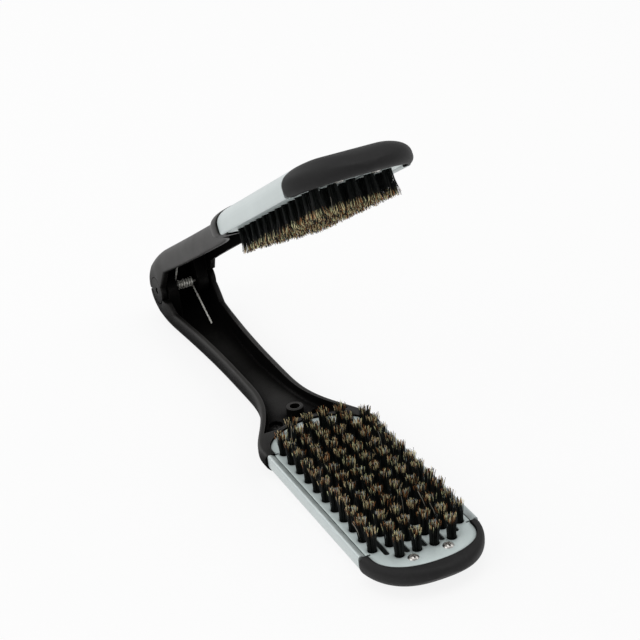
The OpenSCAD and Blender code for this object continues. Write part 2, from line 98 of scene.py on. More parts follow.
# ---------- Sections ----------

FLAT_SHARE = 0.35
SIDE_POWER = 2.4
SIDE_TOP_Z = RIM_Z - 3
SHELL_WALL = 1.6
RAIL_ROUND = 0.9
LEDGE_W = 1.2

# ---------- Handle ----------

HANDLE_WALL = 2.4
WAIST_HALF_W = 9.0
WAIST_X = 76.0
HINGE_BLEND_X = 6.0
NARROW_END_X = 68.0
NARROW_POWER = 0.65
FLARE_END = SHELL_START - 4
FLARE_POWER = 1.8
SHOULDER_HALF_W = SHELL_HALF_W + 0.8
NECK_END_X = 14.0
HEEL_LEN = 9.8
HEEL_RUN = 14.0
HEEL_WALL = 2.6
HEEL_RISE = ARM_DEPTH - 3
HEEL_ROUND = 1.7
HEEL_CORNER = 4.2
HEEL_NARROWS_X = -4.0
HEEL_DRAWN_IN = 0.9
RIM_ROUND = (0.9, 1.4)
RIM_ROUND_RUN = 18.0
POCKET_FLOOR_Z = BACK_Z + 2
POCKET_END_X = 12.5
FLOOR_Z = BACK_Z + 2.4
DECK_Z = BACK_Z + 5.6
RAMP = (60.0, 92.0)
CHANNEL_END_X = HINGE_TO_PLATE - 2
CHANNEL_ROUND = 6.0
CHANNEL_STEP = 1.6
FLOOR_CORNER = 1.3
MOUTH_LIP = 0.16
DECK_LEDGE = 1.7
DECK_INNER_Y = 4.0
BOSS_X = HINGE_TO_PLATE - 9.2
BOSS_R = 3.2
BOSS_BORE_R = 1.9
BOSS_TOP_Z = RIM_Z + 0.9
SCREW_POCKET = (HINGE_TO_PLATE - 8, 8.6)
SCREW_POCKET_R = 2.6
SCREW_POCKET_Z = DECK_Z - 1.4

# ---------- Hinge ----------

PIN_D = 2.6
EAR_R = 5.5
EAR_GAP = 0.3
LUG_R = 5.0
LUG_IN = 4.5
LUG_OUT = HINGE_HALF_W - HANDLE_WALL - 0.6
LOW_SIDE_Z = -2.3
STOP_GAP = 0.15
STOP_SLOPE = math.tan(math.radians(OPEN_ANGLE / 2))
SEAM_EDGE = 0.4
SEAM_EDGE_Y = (8.6, 13.0)
WIRE_D = 0.75
COIL_D = 3.4
COIL_TURNS = 6
COIL_PITCH = WIRE_D + 0.36
LEG_ANGLE = 29.0

# ---------- Bristle plate and cap ----------

ROWS = 11
COLUMNS = 6
ROW_PITCH = (PLATE_LEN - 2 * 9.7) / (ROWS + 1)
COLUMN_PITCH = (PLATE_W - 2 * 3.3) / (COLUMNS - 1)
BRISTLE_H = 9.0
PLATE_INSET = 0.5
PLATE_TIP = (12.6, 2.25)
PLATE_ROOT = (12.0, 1.75)
PLATE_EDGE = ((PLATE_UNDER, 0.0), (PLATE_TOP - 0.3, 0.0), (PLATE_TOP - 0.09, 0.3), (PLATE_TOP, 1.0))
PLATE_SHEET = 0.7
VENT_W = 2.0
NOTCH = (0.75, 1.7)
TUFT_HOLE_R = 1.75
PLATE_SCREW = (PLATE_END - 6.2, COLUMN_PITCH)
CAP_HALF_W = SHELL_HALF_W + 0.5
CAP_ROUND_LEN = 23.06
CAP_NOSE_X = CAP_END - 0.035 - CAP_ROUND_LEN
CAP_POWER = 2.05
CAP_RIM_R = 2.6
CAP_TOP_Z = RIM_Z + 0.15
CAP_TOE_LEN = 18.2
CAP_TOE_RISE = 7.4
CAP_NOSE_FULLNESS = 0.72

# ---------- Finishes ----------

# Roughness, sheen, grain scale and depth, edge tint (partly wear, partly a painted highlight), and
# the painted shade in hollows: its reach, darkest and shut.
HANDLE_FINISH = (0.47, 0.24, 5200.0, 0.00004, 5.0, (0.036, 0.12, 0.7))
CAP_FINISH = (0.58, 0.2, 4200.0, 0.00005, 1.7, (0.003, 0.4, 0.48))
# Painted shade in hollows: the occlusion at which a surface counts as open, and the metal's reach,
# darkest and shut.
OPEN_SKY = 0.96
METAL_HOLLOW_SHADE = (0.0016, 0.45, 0.48)
METAL_SHARE = 0.25
STRAY_TONE = 0.9965
STRAY_COLOUR = (0.5, 0.47, 0.4)
GOLDEN_ANGLE = 2.39996
WHITE = (1, 1, 1)

ARM_NAMES = ("lower", "upper")
PLACE = Matrix.Translation((-REST_X * MM, 0, ARM_DEPTH * MM))
SHRINK = Matrix.Diagonal((MM, MM, MM, 1))
UNSHRINK = Matrix.Diagonal((1 / MM, 1 / MM, 1 / MM, 1))
SWING = Matrix.Rotation(math.radians(-OPEN_ANGLE), 4, "Y")
TURN_OVER = Matrix.Rotation(math.pi, 4, "X")
ARM_MATRIX = {"lower": PLACE @ SHRINK, "upper": PLACE @ SWING @ TURN_OVER @ SHRINK}


# ---------- What a user would change ----------


def length(name, description, default):
    return FloatProperty(
        name=name, description=description, default=default, min=0, unit="LENGTH", precision=5
    )


def colour(name, description, default):
    return FloatVectorProperty(
        name=name, description=description, default=default, min=0, max=1, subtype="COLOR", size=3
    )


class BrushSizes(PropertyGroup):
    strands: IntProperty(
        name="Strands", description="How many filaments a tuft has", default=70, min=8, max=90
    )
    strand_radius: length("Strand radius", "Radius of one filament at its root", 0.00015)
    tuft_root: length("Tuft root radius", "Radius of a tuft where it leaves the plate", 0.00152)
    tuft_spread: length("Tuft spread", "How far the outer filaments splay at their tips", 0.00095)
    tuft_ragged: length("Ragged tips", "How unevenly the filaments are cut", 0.0011)
    tuft_lean: length("Tuft lean", "How far whole tufts lean out of line", 0.00045)
    edge_round: length("Moulded edge", "Rounding of the moulded edges", 0.0006)
    screw_head: length("Plate screw head", "Diameter of a plate screw's head", 0.0039)
    small_head: length("Handle screw head", "Diameter of a handle screw's head", 0.0042)


class BrushColours(PropertyGroup):
    handle: colour("Handle", "Near-black satin moulding", (0.034, 0.0325, 0.031))
    cap: colour("Tip cap", "Matte soft-touch black", (0.018, 0.0177, 0.018))
    rail: colour("Paddle shell", "Satin silver with a green cast", (0.60, 0.66, 0.655))
    plate: colour("Bristle plate", "Satin silver with a green cast", (0.70, 0.79, 0.78))
    bristle: colour("Bristle", "Black filament", (0.0045, 0.0058, 0.0052))
    bristle_tip: colour("Bristle tip", "Pale tan tip", (1.0, 0.80, 0.46))
    bristle_warm: colour("Warm bristle tip", "Brown tip", (0.30, 0.13, 0.045))
    steel: colour("Screw steel", "Bright plain steel", (0.62, 0.60, 0.57))
    spring: colour("Spring wire", "Drawn spring wire", (0.98, 0.96, 0.86))
    floor: colour("Floor", "Pale studio floor", (0.92, 0.92, 0.92))


def sizes():
    return bpy.context.scene.brush_sizes


def colours():
    return bpy.context.scene.brush_colours


# ---------- Outlines and sections ----------


def clamp(t):
    return min(max(t, 0.0), 1.0)


def ease(t):
    t = clamp(t)
    return t * t * (3 - 2 * t)


def super_arc(degrees, power):
    """A point on a quarter of a superellipse, from (0, 1) to (1, 0)."""
    a = math.radians(degrees)
    return max(math.sin(a), 0.0) ** (2 / power), max(math.cos(a), 0.0) ** (2 / power)


def quarter(centre, radius, start, end, steps):
    """Points on an arc, angles in degrees."""
    turn = [math.radians(start + (end - start) * i / steps) for i in range(steps + 1)]
    return [(centre[0] + radius * math.cos(a), centre[1] + radius * math.sin(a)) for a in turn]


def round_side(flat, w, bottom_z, top_z, steps):
    """The superelliptic side of a section, from its flat back up to its full width."""
    arcs = [super_arc(90 * i / steps, SIDE_POWER) for i in range(1, steps + 1)]
    return [(flat + (w - flat) * across, top_z - (top_z - bottom_z) * up) for across, up in arcs]


def arm_half_w(x):
    if x > WAIST_X:
        flare = min((x - WAIST_X) / (FLARE_END - WAIST_X), 1.0) ** FLARE_POWER
        return WAIST_HALF_W + (SHOULDER_HALF_W - WAIST_HALF_W) * ease(flare)
    past = max(HEEL_NARROWS_X - x, 0.0) / (HEEL_LEN + HEEL_NARROWS_X + 0.2)
    drawn_in = HEEL_DRAWN_IN * (1 - math.sqrt(max(0.0, 1 - past**2)))
    narrowing = ease(clamp((x - HINGE_BLEND_X) / (NARROW_END_X - HINGE_BLEND_X)) ** NARROW_POWER)
    return HINGE_HALF_W + (WAIST_HALF_W - HINGE_HALF_W) * narrowing - drawn_in


def arm_back_z(x):
    along = max(HEEL_RUN - x, 0.0) / (HEEL_RUN + HEEL_LEN)
    return BACK_Z + HEEL_RISE * (1 - math.sqrt(max(0.0, 1 - along**2)))


def arm_rim_z(x):
    rise = (x - HINGE_BLEND_X) / (NECK_END_X - HINGE_BLEND_X)
    return -STOP_GAP + (RIM_Z + STOP_GAP) * clamp(rise)


def channel_floor_z(x):
    if x < POCKET_END_X:
        return max(POCKET_FLOOR_Z, arm_back_z(x) + HEEL_WALL)
    return FLOOR_Z + (DECK_Z - FLOOR_Z) * clamp((x - RAMP[0]) / (RAMP[1] - RAMP[0]))


def both_sides(half):
    """A closed outline from its right half, which runs from the bottom to the top."""
    return [(-y, z) for y, z in reversed(half)] + list(half)


def half_section(w, top_z, bottom_z, rim_r):
    """Right half of a handle's section: flat back, superelliptic side, rounded rim."""
    flat = FLAT_SHARE * w
    lowest, highest = bottom_z + 0.4, top_z - rim_r - 0.3
    side = min(max(SIDE_TOP_Z, bottom_z + HEEL_CORNER), max(highest, lowest))
    r = min(rim_r, top_z - side - 0.2)
    rim = quarter((w - r, top_z - r), r, 0, 90, 7)
    return [(flat, bottom_z)] + round_side(flat, w, bottom_z, side, 24) + rim


def nose(x, half_w, run, power, steps=28):
    points = []
    for i in range(2 * steps + 1):
        a = 90 - 90 * i / steps
        across, along = super_arc(abs(a), power)
        points.append((x + run * along, half_w * across * (-1 if a < 0 else 1)))
    return points


def plate_outline(gap):
    full = PLATE_W / 2 + gap
    ends = full - PLATE_INSET
    tip = nose(PLATE_END - PLATE_TIP[0], ends, PLATE_TIP[0] + gap, PLATE_TIP[1])
    root_x = HINGE_TO_PLATE + PLATE_ROOT[0]
    root = [(root_x - x, -y) for x, y in nose(0, ends, PLATE_ROOT[0] + gap, PLATE_ROOT[1])]
    steps = [(CAP_START, full), (CAP_START, ends)], [(SHELL_START, -full), (SHELL_START, -ends)]
    back = [[(x, -y) for x, y in reversed(step)] for step in steps]
    return steps[0] + tip + back[0] + steps[1] + root + back[1]


def ring(radius, sides):
    turn = [math.tau * k / sides for k in range(sides)]
    return [(radius * math.cos(a), radius * math.sin(a)) for a in turn]


# ---------- Solids ----------


def solid(name, points, faces):
    """A temporary closed object in an arm's own frame, with its faces pointing outwards."""
    mesh = bpy.data.meshes.new(name)
    mesh.from_pydata(points, [], faces)
    bm = bmesh.new()
    bm.from_mesh(mesh)
    bmesh.ops.recalc_face_normals(bm, faces=bm.faces)
    bm.to_mesh(mesh)
    bm.free()
    made = bpy.data.objects.new(name, mesh)
    bpy.context.scene.collection.objects.link(made)
    return made


def tube_faces(rings, count):
    faces = []
    for r in range(0, (rings - 1) * count, count):
        for k in range(count):
            n = (k + 1) % count
            faces.append((r + k, r + n, r + count + n, r + count + k))
    return faces + [tuple(reversed(range(count))), tuple(range((rings - 1) * count, rings * count))]


def loft(name, stations):
    """A solid through sections [x, outline], each with as many points."""
    points = [(x, y, z) for x, outline in stations for y, z in outline]
    return solid(name, points, tube_faces(len(stations), len(stations[0][1])))


def prism(name, outline, low, high, axis="Z"):
    """An outline drawn out along Z (a plan) or along Y (a side view)."""
    ends = [(a, b, h) for h in (low, high) for a, b in outline]
    points = ends if axis == "Z" else [(a, h, b) for a, b, h in ends]
    return solid(name, points, tube_faces(2, len(outline)))


def turned(name, profile, centre=(0, 0), axis="Z", sides=72):
    """A turned solid from [radius, height] pairs."""
    rings = [(centre[0] + a, centre[1] + b, h) for r, h in profile for a, b in ring(r, sides)]
    points = rings if axis == "Z" else [(a, h, b) for a, b, h in rings]
    return solid(name, points, tube_faces(len(profile), sides))


def rounded_bar(name, radius, low, high, edge=0.01):
    """A round bar along the hinge axis whose two rims are rounded."""
    start = [(radius - edge + c, low + edge - s) for c, s in quarter((0, 0), edge, 90, 0, 4)]
    end = [(radius - edge + c, high - edge + s) for c, s in quarter((0, 0), edge, 0, 90, 4)]
    return turned(name, start + end, axis="Y")


def carve(base, steps):
    """Applies boolean steps ("ADD" or "CUT", solid) in order, and clears the tools away."""
    for kind, tool in steps:
        modifier = base.modifiers.new("step", "BOOLEAN")
        modifier.operation = "UNION" if kind == "ADD" else "DIFFERENCE"
        modifier.solver = "MANIFOLD"
        modifier.object = tool
    base.data = evaluated_mesh(base)
    for _, tool in steps:
        bpy.data.objects.remove(tool)
    return base


def evaluated_mesh(base):
    """The mesh that an object's modifiers give, which are then removed."""
    mesh = bpy.data.meshes.new_from_object(
        base.evaluated_get(bpy.context.evaluated_depsgraph_get())
    )
    base.modifiers.clear()
    return mesh


def finish_piece(piece, arm, name, body, material, replaced, smooth=32):
    """Puts a piece in place in the row frame, shades it, hangs it on its body and hides the
    imported part that it replaces.
    """
    piece.data.transform(ARM_MATRIX[arm])
    piece.name = piece.data.name = name
    bm = bmesh.new()
    bm.from_mesh(piece.data)
    bmesh.ops.remove_doubles(bm, verts=bm.verts, dist=1e-7)
    bmesh.ops.dissolve_degenerate(bm, edges=bm.edges, dist=1e-7)
    for face in bm.faces:
        face.smooth = True
        face.material_index = 0
    for edge in bm.edges:
        sharp = len(edge.link_faces) == 2 and edge.calc_face_angle(0) > math.radians(smooth)
        edge.smooth = not sharp
    bm.to_mesh(piece.data)
    bm.free()
    set_material(piece, material)
    if body:
        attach(piece, body)
    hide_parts(replaced)


def dress(piece, arm, title, material, replaced, smooth=32):
    """Finishes a piece that rides on one arm."""
    name, body, node = f"{arm}_{title}", f"{arm}_arm", f"{arm}_{replaced}"
    finish_piece(piece, arm, name, body, material, node, smooth)


def set_material(piece, material):
    piece.data.materials.clear()
    piece.data.materials.append(material)


# ---------- Node trees ----------


class Graph:
    """A node tree under construction."""

    def __init__(self, tree):
        self.tree = tree

    def give(self, socket, value):
        """Wires a socket to another, or sets its plain value."""
        if isinstance(value, NodeSocket):
            self.tree.links.new(value, socket)
        elif value is not None:
            socket.default_value = (*value, 1) if socket.type == "RGBA" else value

    def add(self, kind, settings=None, **inputs):
        """A node; each key names an input, with "__n" for the n-th input of that name."""
        node = self.tree.nodes.new(kind)
        for key, value in (settings or {}).items():
            setattr(node, key, value)
        for key, value in inputs.items():
            title, _, nth = key.partition("__")
            named = [s for s in node.inputs if s.name == title.replace("_", " ") and s.enabled]
            self.give(named[int(nth or 0)], value)
        return node

    def get(self, output, kind, settings=None, **inputs):
        """One output of a new node."""
        return self.add(kind, settings, **inputs).outputs[output]

    def math(self, operation, a, b=None):
        node = self.add("ShaderNodeMath", {"operation": operation})
        self.give(node.inputs[0], a)
        self.give(node.inputs[1], b)
        return node.outputs[0]

    def blend(self, share, a, b):
        """A mix of two shaders."""
        return self.get(0, "ShaderNodeMixShader", Fac=share, Shader=a, Shader__1=b)

    def plus(self, a, b):
        return self.math("ADD", a, b)

    def times(self, a, b):
        return self.math("MULTIPLY", a, b)

    def scaled(self, vector, factor):
        scale = {"operation": "SCALE"}
        return self.get(0, "ShaderNodeVectorMath", scale, Vector=vector, Scale=factor)


# ---------- Materials ----------


class Paint(Graph):
    """A material under construction, on one principled shader."""

    def __init__(self, name):
        self.material = bpy.data.materials.new(name)
        self.material.use_nodes = True
        super().__init__(self.material.node_tree)
        self.tree.nodes.clear()
        self.shader = self.add("ShaderNodeBsdfPrincipled")
        self.out = self.add("ShaderNodeOutputMaterial", Surface=self.shader.outputs["BSDF"])

    def finish(self, **inputs):
        for key, value in inputs.items():
            self.give(self.shader.inputs[key.replace("_", " ")], value)
        return self.material

    def place(self):
        return self.get("Object", "ShaderNodeTexCoord")

    def along_arm(self, arm, stretch=(1, 1, 1)):
        """Object coordinates turned to lie along an arm, then stretched."""
        tilt = math.radians(OPEN_ANGLE) if arm == "upper" else 0
        turned_to = self.get(0, "ShaderNodeMapping", Vector=self.place(), Rotation=(0, tilt, 0))
        return self.get(0, "ShaderNodeMapping", Vector=turned_to, Scale=stretch)

    def noise(self, vector, scale, detail=2.0, roughness=0.55):
        fractal = {"Scale": scale, "Detail": detail, "Roughness": roughness}
        return self.get("Fac", "ShaderNodeTexNoise", Vector=vector, **fractal)

    def spread(self, value, low, high, start=0.3, end=0.7):
        """Maps a value between start and end to low and high."""
        ends = {"From_Min": start, "From_Max": end, "To_Min": low, "To_Max": high}
        return self.get("Result", "ShaderNodeMapRange", Value=value, **ends)

    def mix(self, factor, a, b):
        """A mix of two colours, each a socket or a plain colour."""
        node = self.add("ShaderNodeMix", {"data_type": "RGBA"})
        for n, value in ((0, factor), (6, a), (7, b)):
            self.give(node.inputs[n], value)
        return node.outputs[2]

    def layers(self, base, broad, low, high, *marks):
        """A colour uneven between two tints, under marks: each a value, its spread and a tint."""
        tone = self.mix(self.spread(broad, 0.0, 1.0), tinted(base, low), tinted(base, high))
        for value, ends, tint in marks:
            tone = self.mix(self.spread(value, *ends), tone, tinted(base, tint))
        return tone

    def edge_wear_and_highlight(self, radius):
        """A rounded normal, and how sharply the surface turns away from it: the mask for edges
        lightened partly as wear, partly as a painted highlight.
        """
        rounded = self.get("Normal", "ShaderNodeBevel", {"samples": 6}, Radius=radius)
        plain = self.get("Normal", "ShaderNodeNewGeometry")
        dot = {"operation": "DOT_PRODUCT"}
        match = self.get("Value", "ShaderNodeVectorMath", dot, Vector=rounded, Vector__1=plain)
        return rounded, self.spread(match, 1.0, 0.0, 0.8, 0.99)

    def painted_shade_in_hollows(self, reach, darkest, shut):
        """Painted shade: from darkest deep in a hollow to one in the open."""
        sky = self.get("AO", "ShaderNodeAmbientOcclusion", {"samples": 8}, Distance=reach)
        return self.spread(sky, darkest, 1.0, shut, OPEN_SKY)

    def bump(self, height, strength, distance, normal=None):
        relief = {"Strength": strength, "Distance": distance, "Normal": normal}
        return self.get("Normal", "ShaderNodeBump", Height=height, **relief)


def tinted(base, factor):
    return tuple(min(1.0, c * factor) for c in base)


def moulded(name, base, arm, finish):
    """Moulded plastic or rubber: fine grain, uneven sheen, edges lightened partly as wear and
    partly as a painted highlight, and painted shade in hollows.
    """
    roughness, sheen, grain, grain_depth, edge_wear_and_highlight_tint, shade = finish
    paint = Paint(name)
    vector = paint.along_arm(arm)
    broad, patch = paint.noise(vector, 90.0, 3.0), paint.noise(vector, 700.0)
    normal, edge = paint.edge_wear_and_highlight(sizes().edge_round)
    # Lighter edges from the edge tint: partly wear, partly a painted highlight where the rim
    # catches light.
    marks = (patch, (0.0, 0.35, 0.55, 0.8), 1.5), (edge, (0.0, 0.8, 0.0, 1.0), edge_wear_and_highlight_tint)
    # Painted shade: ambient occlusion darkens the colour and weakens the reflection in hollows.
    hollow_shade = paint.painted_shade_in_hollows(*shade)
    return paint.finish(
        Base_Color=paint.scaled(paint.layers(base, broad, 0.84, 1.16, *marks), hollow_shade),
        Specular_IOR_Level=paint.spread(hollow_shade, 0.0, sheen, 0.1, 1.0),
        Roughness=paint.spread(broad, roughness - 0.05, roughness + 0.07),
        Normal=paint.bump(paint.noise(vector, grain, 2.0, 0.6), 0.35, grain_depth, normal),
    )


def drawn_metal(name, base, arm, roughness):
    """Satin metal drawn along the arm: long faint streaks, small marks, brighter edges and painted
    shade in hollows.
    """
    paint = Paint(name)
    vector = paint.along_arm(arm)
    streaks = paint.noise(paint.along_arm(arm, (30.0, 2400.0, 2400.0)), 1.0, 5.0, 0.6)
    broad, marks = paint.noise(vector, 60.0, 3.0), paint.noise(vector, 1500.0)
    normal, edge = paint.edge_wear_and_highlight(sizes().edge_round * 0.3)
    tint_marks = (marks, (0.0, 0.3, 0.62, 0.8), 0.8), (edge, (0.0, 0.7, 0.0, 1.0), 1.2)
    tone = paint.layers(base, broad, 0.95, 1.05, (streaks, (0.0, 0.5), 0.95), *tint_marks)
    # Painted shade: ambient occlusion darkens the colour in hollows and where parts meet.
    return paint.finish(
        Base_Color=paint.scaled(tone, paint.painted_shade_in_hollows(*METAL_HOLLOW_SHADE)),
        Roughness=paint.spread(streaks, roughness - 0.05, roughness + 0.06),
        Normal=paint.bump(streaks, 0.05, 0.00002, normal),
        Metallic=METAL_SHARE,
    )


def bright_steel(name, base, roughness, metallic=1.0):
    """Plain steel with tiny turning marks and a little tarnish."""
    paint = Paint(name)
    vector = paint.place()
    tarnish, marks = paint.noise(vector, 900.0, 4.0), paint.noise(vector, 6000.0, 3.0)
    normal, edge = paint.edge_wear_and_highlight(0.00012)
    tint_marks = edge, (0.0, 0.8, 0.0, 1.0), 1.4
    return paint.finish(
        Base_Color=paint.layers(base, tarnish, 0.8, 1.1, tint_marks),
        Roughness=paint.spread(tarnish, roughness - 0.07, roughness + 0.1),
        Normal=paint.bump(marks, 0.2, 0.00002, normal),
        Metallic=metallic,
    )


def bristle_material():
    """Black filaments whose ends turn tan, brown or stay dark, strand by strand."""
    paint, palette = Paint("bristle filament"), colours()
    along, tone = (
        paint.get("Fac", "ShaderNodeAttribute", {"attribute_name": name})
        for name in ("along", "tone")
    )
    mottle = paint.noise(paint.place(), 1800.0)
    start = paint.plus(along, paint.spread(mottle, -0.10, 0.10))
    pale = paint.spread(start, 0.0, 1.0, 0.8, 0.92)
    ramp = paint.add("ShaderNodeValToRGB", Fac=tone)
    ramp.color_ramp.interpolation = "CONSTANT"
    elements = ramp.color_ramp.elements
    shades = (
        (0.0, tinted(palette.bristle, 1.5)),
        (0.56, palette.bristle_warm),
        (0.65, tinted(palette.bristle_warm, 1.8)),
        (0.72, palette.bristle_tip),
        (0.88, tinted(palette.bristle_tip, 1.25)),
    )
    for n, (position, shade) in enumerate(shades):
        stop = elements[n] if n < 2 else elements.new(position)
        stop.position, stop.color = position, (*shade, 1)
    hair = paint.mix(pale, tuple(palette.bristle), ramp.outputs["Color"])
    stray = paint.spread(tone, 0.0, 1.0, STRAY_TONE, STRAY_TONE + 0.0005)
    return paint.finish(
        Base_Color=paint.mix(stray, hair, STRAY_COLOUR),
        Roughness=paint.spread(mottle, 0.38, 0.52),
        Specular_IOR_Level=0.25,
        Normal=paint.bump(mottle, 0.2, 0.00003),
    )


# ---------- Geometry Nodes ----------


class Tree(Graph):
    """A geometry tree with a named input for each size, and one for the material."""

    def __init__(self, name, inputs):
        super().__init__(bpy.data.node_groups.new(name, "GeometryNodeTree"))
        kinds = {int: "NodeSocketInt", float: "NodeSocketFloat"}
        sockets = self.tree.interface
        sockets.new_socket("Geometry", in_out="INPUT", socket_type="NodeSocketGeometry")
        for title, default in inputs.items():
            socket = sockets.new_socket(title, in_out="INPUT", socket_type=kinds[type(default)])
            socket.default_value = default
        sockets.new_socket("Material", in_out="INPUT", socket_type="NodeSocketMaterial")
        sockets.new_socket("Geometry", in_out="OUTPUT", socket_type="NodeSocketGeometry")
        self.given = self.tree.nodes.new("NodeGroupInput").outputs

    def vector(self, x=0.0, y=0.0, z=0.0):
        return self.get(0, "ShaderNodeCombineXYZ", X=x, Y=y, Z=z)

    def random(self, low, high, seed, key=None):
        """A random number for each point, or for each key, from a seed."""
        node = self.add("FunctionNodeRandomValue", Min=low, Max=high, ID=key, Seed=seed)
        return [s for s in node.outputs if s.enabled][0]

    def store(self, geometry, title, value, kind="FLOAT"):
        settings = {"data_type": kind, "domain": "POINT"}
        inputs = {"Geometry": geometry, "Name": title, "Value": value}
        return self.get(0, "GeometryNodeStoreNamedAttribute", settings, **inputs)

    def read(self, title, kind="FLOAT"):
        node = self.add("GeometryNodeInputNamedAttribute", {"data_type": kind}, Name=title)
        return [s for s in node.outputs if s.enabled][0]

    def shift(self, geometry, offset):
        """Moves each point by its own offset."""
        return self.get(0, "GeometryNodeSetPosition", Geometry=geometry, Offset=offset)

    def move(self, geometry, offset, turn=None):
        """Moves and turns a whole shape."""
        inputs = {"Geometry": geometry, "Translation": offset, "Rotation": turn}
        return self.get(0, "GeometryNodeTransform", **inputs)

    def stand(self, points, shape, turn, size=None):
        inputs = {"Points": points, "Instance": shape, "Rotation": turn, "Scale": size}
        copies = self.get(0, "GeometryNodeInstanceOnPoints", **inputs)
        return self.get(0, "GeometryNodeRealizeInstances", Geometry=copies)

    def boolean(self, operation, tools, base=None):
        node = self.add("GeometryNodeMeshBoolean", {"operation": operation, "solver": "EXACT"})
        if base:
            self.give(node.inputs["Mesh 1"], base)
        for tool in tools:
            self.give(node.inputs["Mesh 2"], tool)
        return node.outputs["Mesh"]

    def close(self, geometry):
        real = self.get(0, "GeometryNodeRealizeInstances", Geometry=geometry)
        material = self.given["Material"]
        made = self.get(0, "GeometryNodeSetMaterial", Geometry=real, Material=material)
        self.add("NodeGroupOutput", Geometry=made)
        return self.tree


def grow(name, points, edges, tree, values):
    """Runs a tree on points in an arm's own frame, and gives a plain mesh object."""
    mesh = bpy.data.meshes.new(name)
    mesh.from_pydata([tuple(c * MM for c in point) for point in points], edges, [])
    base = bpy.data.objects.new(name, mesh)
    bpy.context.scene.collection.objects.link(base)
    modifier = base.modifiers.new("grow", "NODES")
    modifier.node_group = tree
    keys = {s.name: s.identifier for s in tree.interface.items_tree if s.in_out == "INPUT"}
    for title, value in values.items():
        modifier[keys[title]] = value
    base.data = evaluated_mesh(base)
    if not base.data.polygons:
        raise RuntimeError(f"the tree made no faces for {name}")
    base.data.transform(UNSHRINK)
    return base


def tuft_tree():
    """Filaments that stand close together at their roots and splay towards ragged tips."""
    inputs = {
        "Strands": 50,
        "Root Radius": 0.0015,
        "Spread": 0.001,
        "Ragged": 0.001,
        "Lean": 0.0004,
        "Height": 0.01,
        "Strand Radius": 0.00014,
        "Seed": 1,
    }
    tree = Tree("bristle tufts", inputs)
    given = tree.given

    def seed(n):
        return tree.plus(given["Seed"], n)

    tufts = tree.store(given["Geometry"], "tuft", tree.get(0, "GeometryNodeInputIndex"))
    tuft, along = tree.read("tuft"), tree.read("along")
    points, amount = {"domain": "POINT"}, given["Strands"]
    copies = tree.add("GeometryNodeDuplicateElements", points, Geometry=tufts, Amount=amount)
    order = copies.outputs["Duplicate Index"]
    share = tree.math("SQRT", tree.math("DIVIDE", tree.plus(order, 0.5), amount))
    turn = tree.random(0.0, math.tau, given["Seed"], tuft)
    angle = tree.plus(tree.times(order, GOLDEN_ANGLE), turn)
    around = tree.math("COSINE", angle), tree.math("SINE", angle)
    radius = tree.times(share, given["Root Radius"])
    root = tree.vector(*(tree.times(side, radius) for side in around))
    loose_ends = tree.random(0.35, 1.25, given["Seed"])
    splay = tree.times(tree.times(share, given["Spread"]), loose_ends)
    stray = tree.times(given["Spread"], 0.5)
    drift = [tree.times(stray, tree.random(-1.0, 1.0, seed(n))) for n in (3, 4)]
    lean = [tree.times(given["Lean"], tree.random(-1.0, 1.0, seed(n), tuft)) for n in (8, 9)]
    sway = tree.vector(
        *(tree.plus(tree.times(around[n], splay), tree.plus(drift[n], lean[n])) for n in (0, 1))
    )
    tone = tree.random(0.0, 1.0, seed(7))
    loose = tree.plus(tree.times(tree.math("GREATER_THAN", tone, STRAY_TONE), 1.5), 1.0)
    sway = tree.scaled(sway, loose)
    roots = tree.store(copies.outputs["Geometry"], "sway", sway, "FLOAT_VECTOR")
    placed = tree.shift(tree.store(roots, "tone", tone), root)
    shape = {"Side_Segments": 4, "Radius_Top": 0.55, "Radius_Bottom": 1.0, "Depth": 1.0}
    capped = {"fill_type": "TRIANGLE_FAN"}
    strand = tree.get("Mesh", "GeometryNodeMeshCone", capped, Vertices=3, **shape)
    position = tree.get(0, "GeometryNodeInputPosition")
    height = tree.get("Z", "ShaderNodeSeparateXYZ", Vector=position)
    marked = tree.store(strand, "along", height)
    ragged = tree.times(given["Ragged"], tree.random(0.0, 1.0, seed(5)))
    cut = tree.math("SUBTRACT", given["Height"], ragged)
    size = tree.vector(given["Strand Radius"], given["Strand Radius"], cut)
    real = tree.stand(placed, marked, tree.vector(z=angle), size)
    curl = tree.math("POWER", along, 2.2)
    return tree.close(tree.shift(real, tree.scaled(tree.read("sway", "FLOAT_VECTOR"), curl)))


def screw_tree():
    """Round-headed cross-recess screw heads standing on points."""
    tree = Tree("screw heads", {"Head": 0.0044, "Height": 0.0009, "Seed": 1})
    head, height = tree.given["Head"], tree.given["Height"]
    half = tree.times(head, 0.5)
    squares = tree.plus(tree.times(half, half), tree.times(height, height))
    dome_r = tree.math("DIVIDE", squares, tree.times(height, 2.0))
    dome = tree.get("Mesh", "GeometryNodeMeshUVSphere", Segments=96, Rings=120, Radius=dome_r)
    dome = tree.move(dome, tree.vector(z=tree.math("SUBTRACT", height, dome_r)))
    tall = tree.times(height, 4.0)
    puck = tree.get("Mesh", "GeometryNodeMeshCylinder", Vertices=96, Radius=half, Depth=tall)
    puck = tree.move(puck, tree.vector(z=tree.times(height, 1.75)))
    blank = tree.boolean("INTERSECT", [dome, puck])
    bar = tree.vector(tree.times(head, 0.66), tree.times(head, 0.19), tree.times(height, 1.5))
    slot = tree.get("Mesh", "GeometryNodeMeshCube", Size=bar)
    rise = tree.vector(z=height)
    slots = [tree.move(slot, rise), tree.move(slot, rise, (0.0, 0.0, math.pi / 2))]
    turn = tree.vector(z=tree.random(0.0, math.pi, tree.given["Seed"]))
    cut = tree.boolean("DIFFERENCE", slots, blank)
    return tree.close(tree.stand(tree.given["Geometry"], cut, turn))


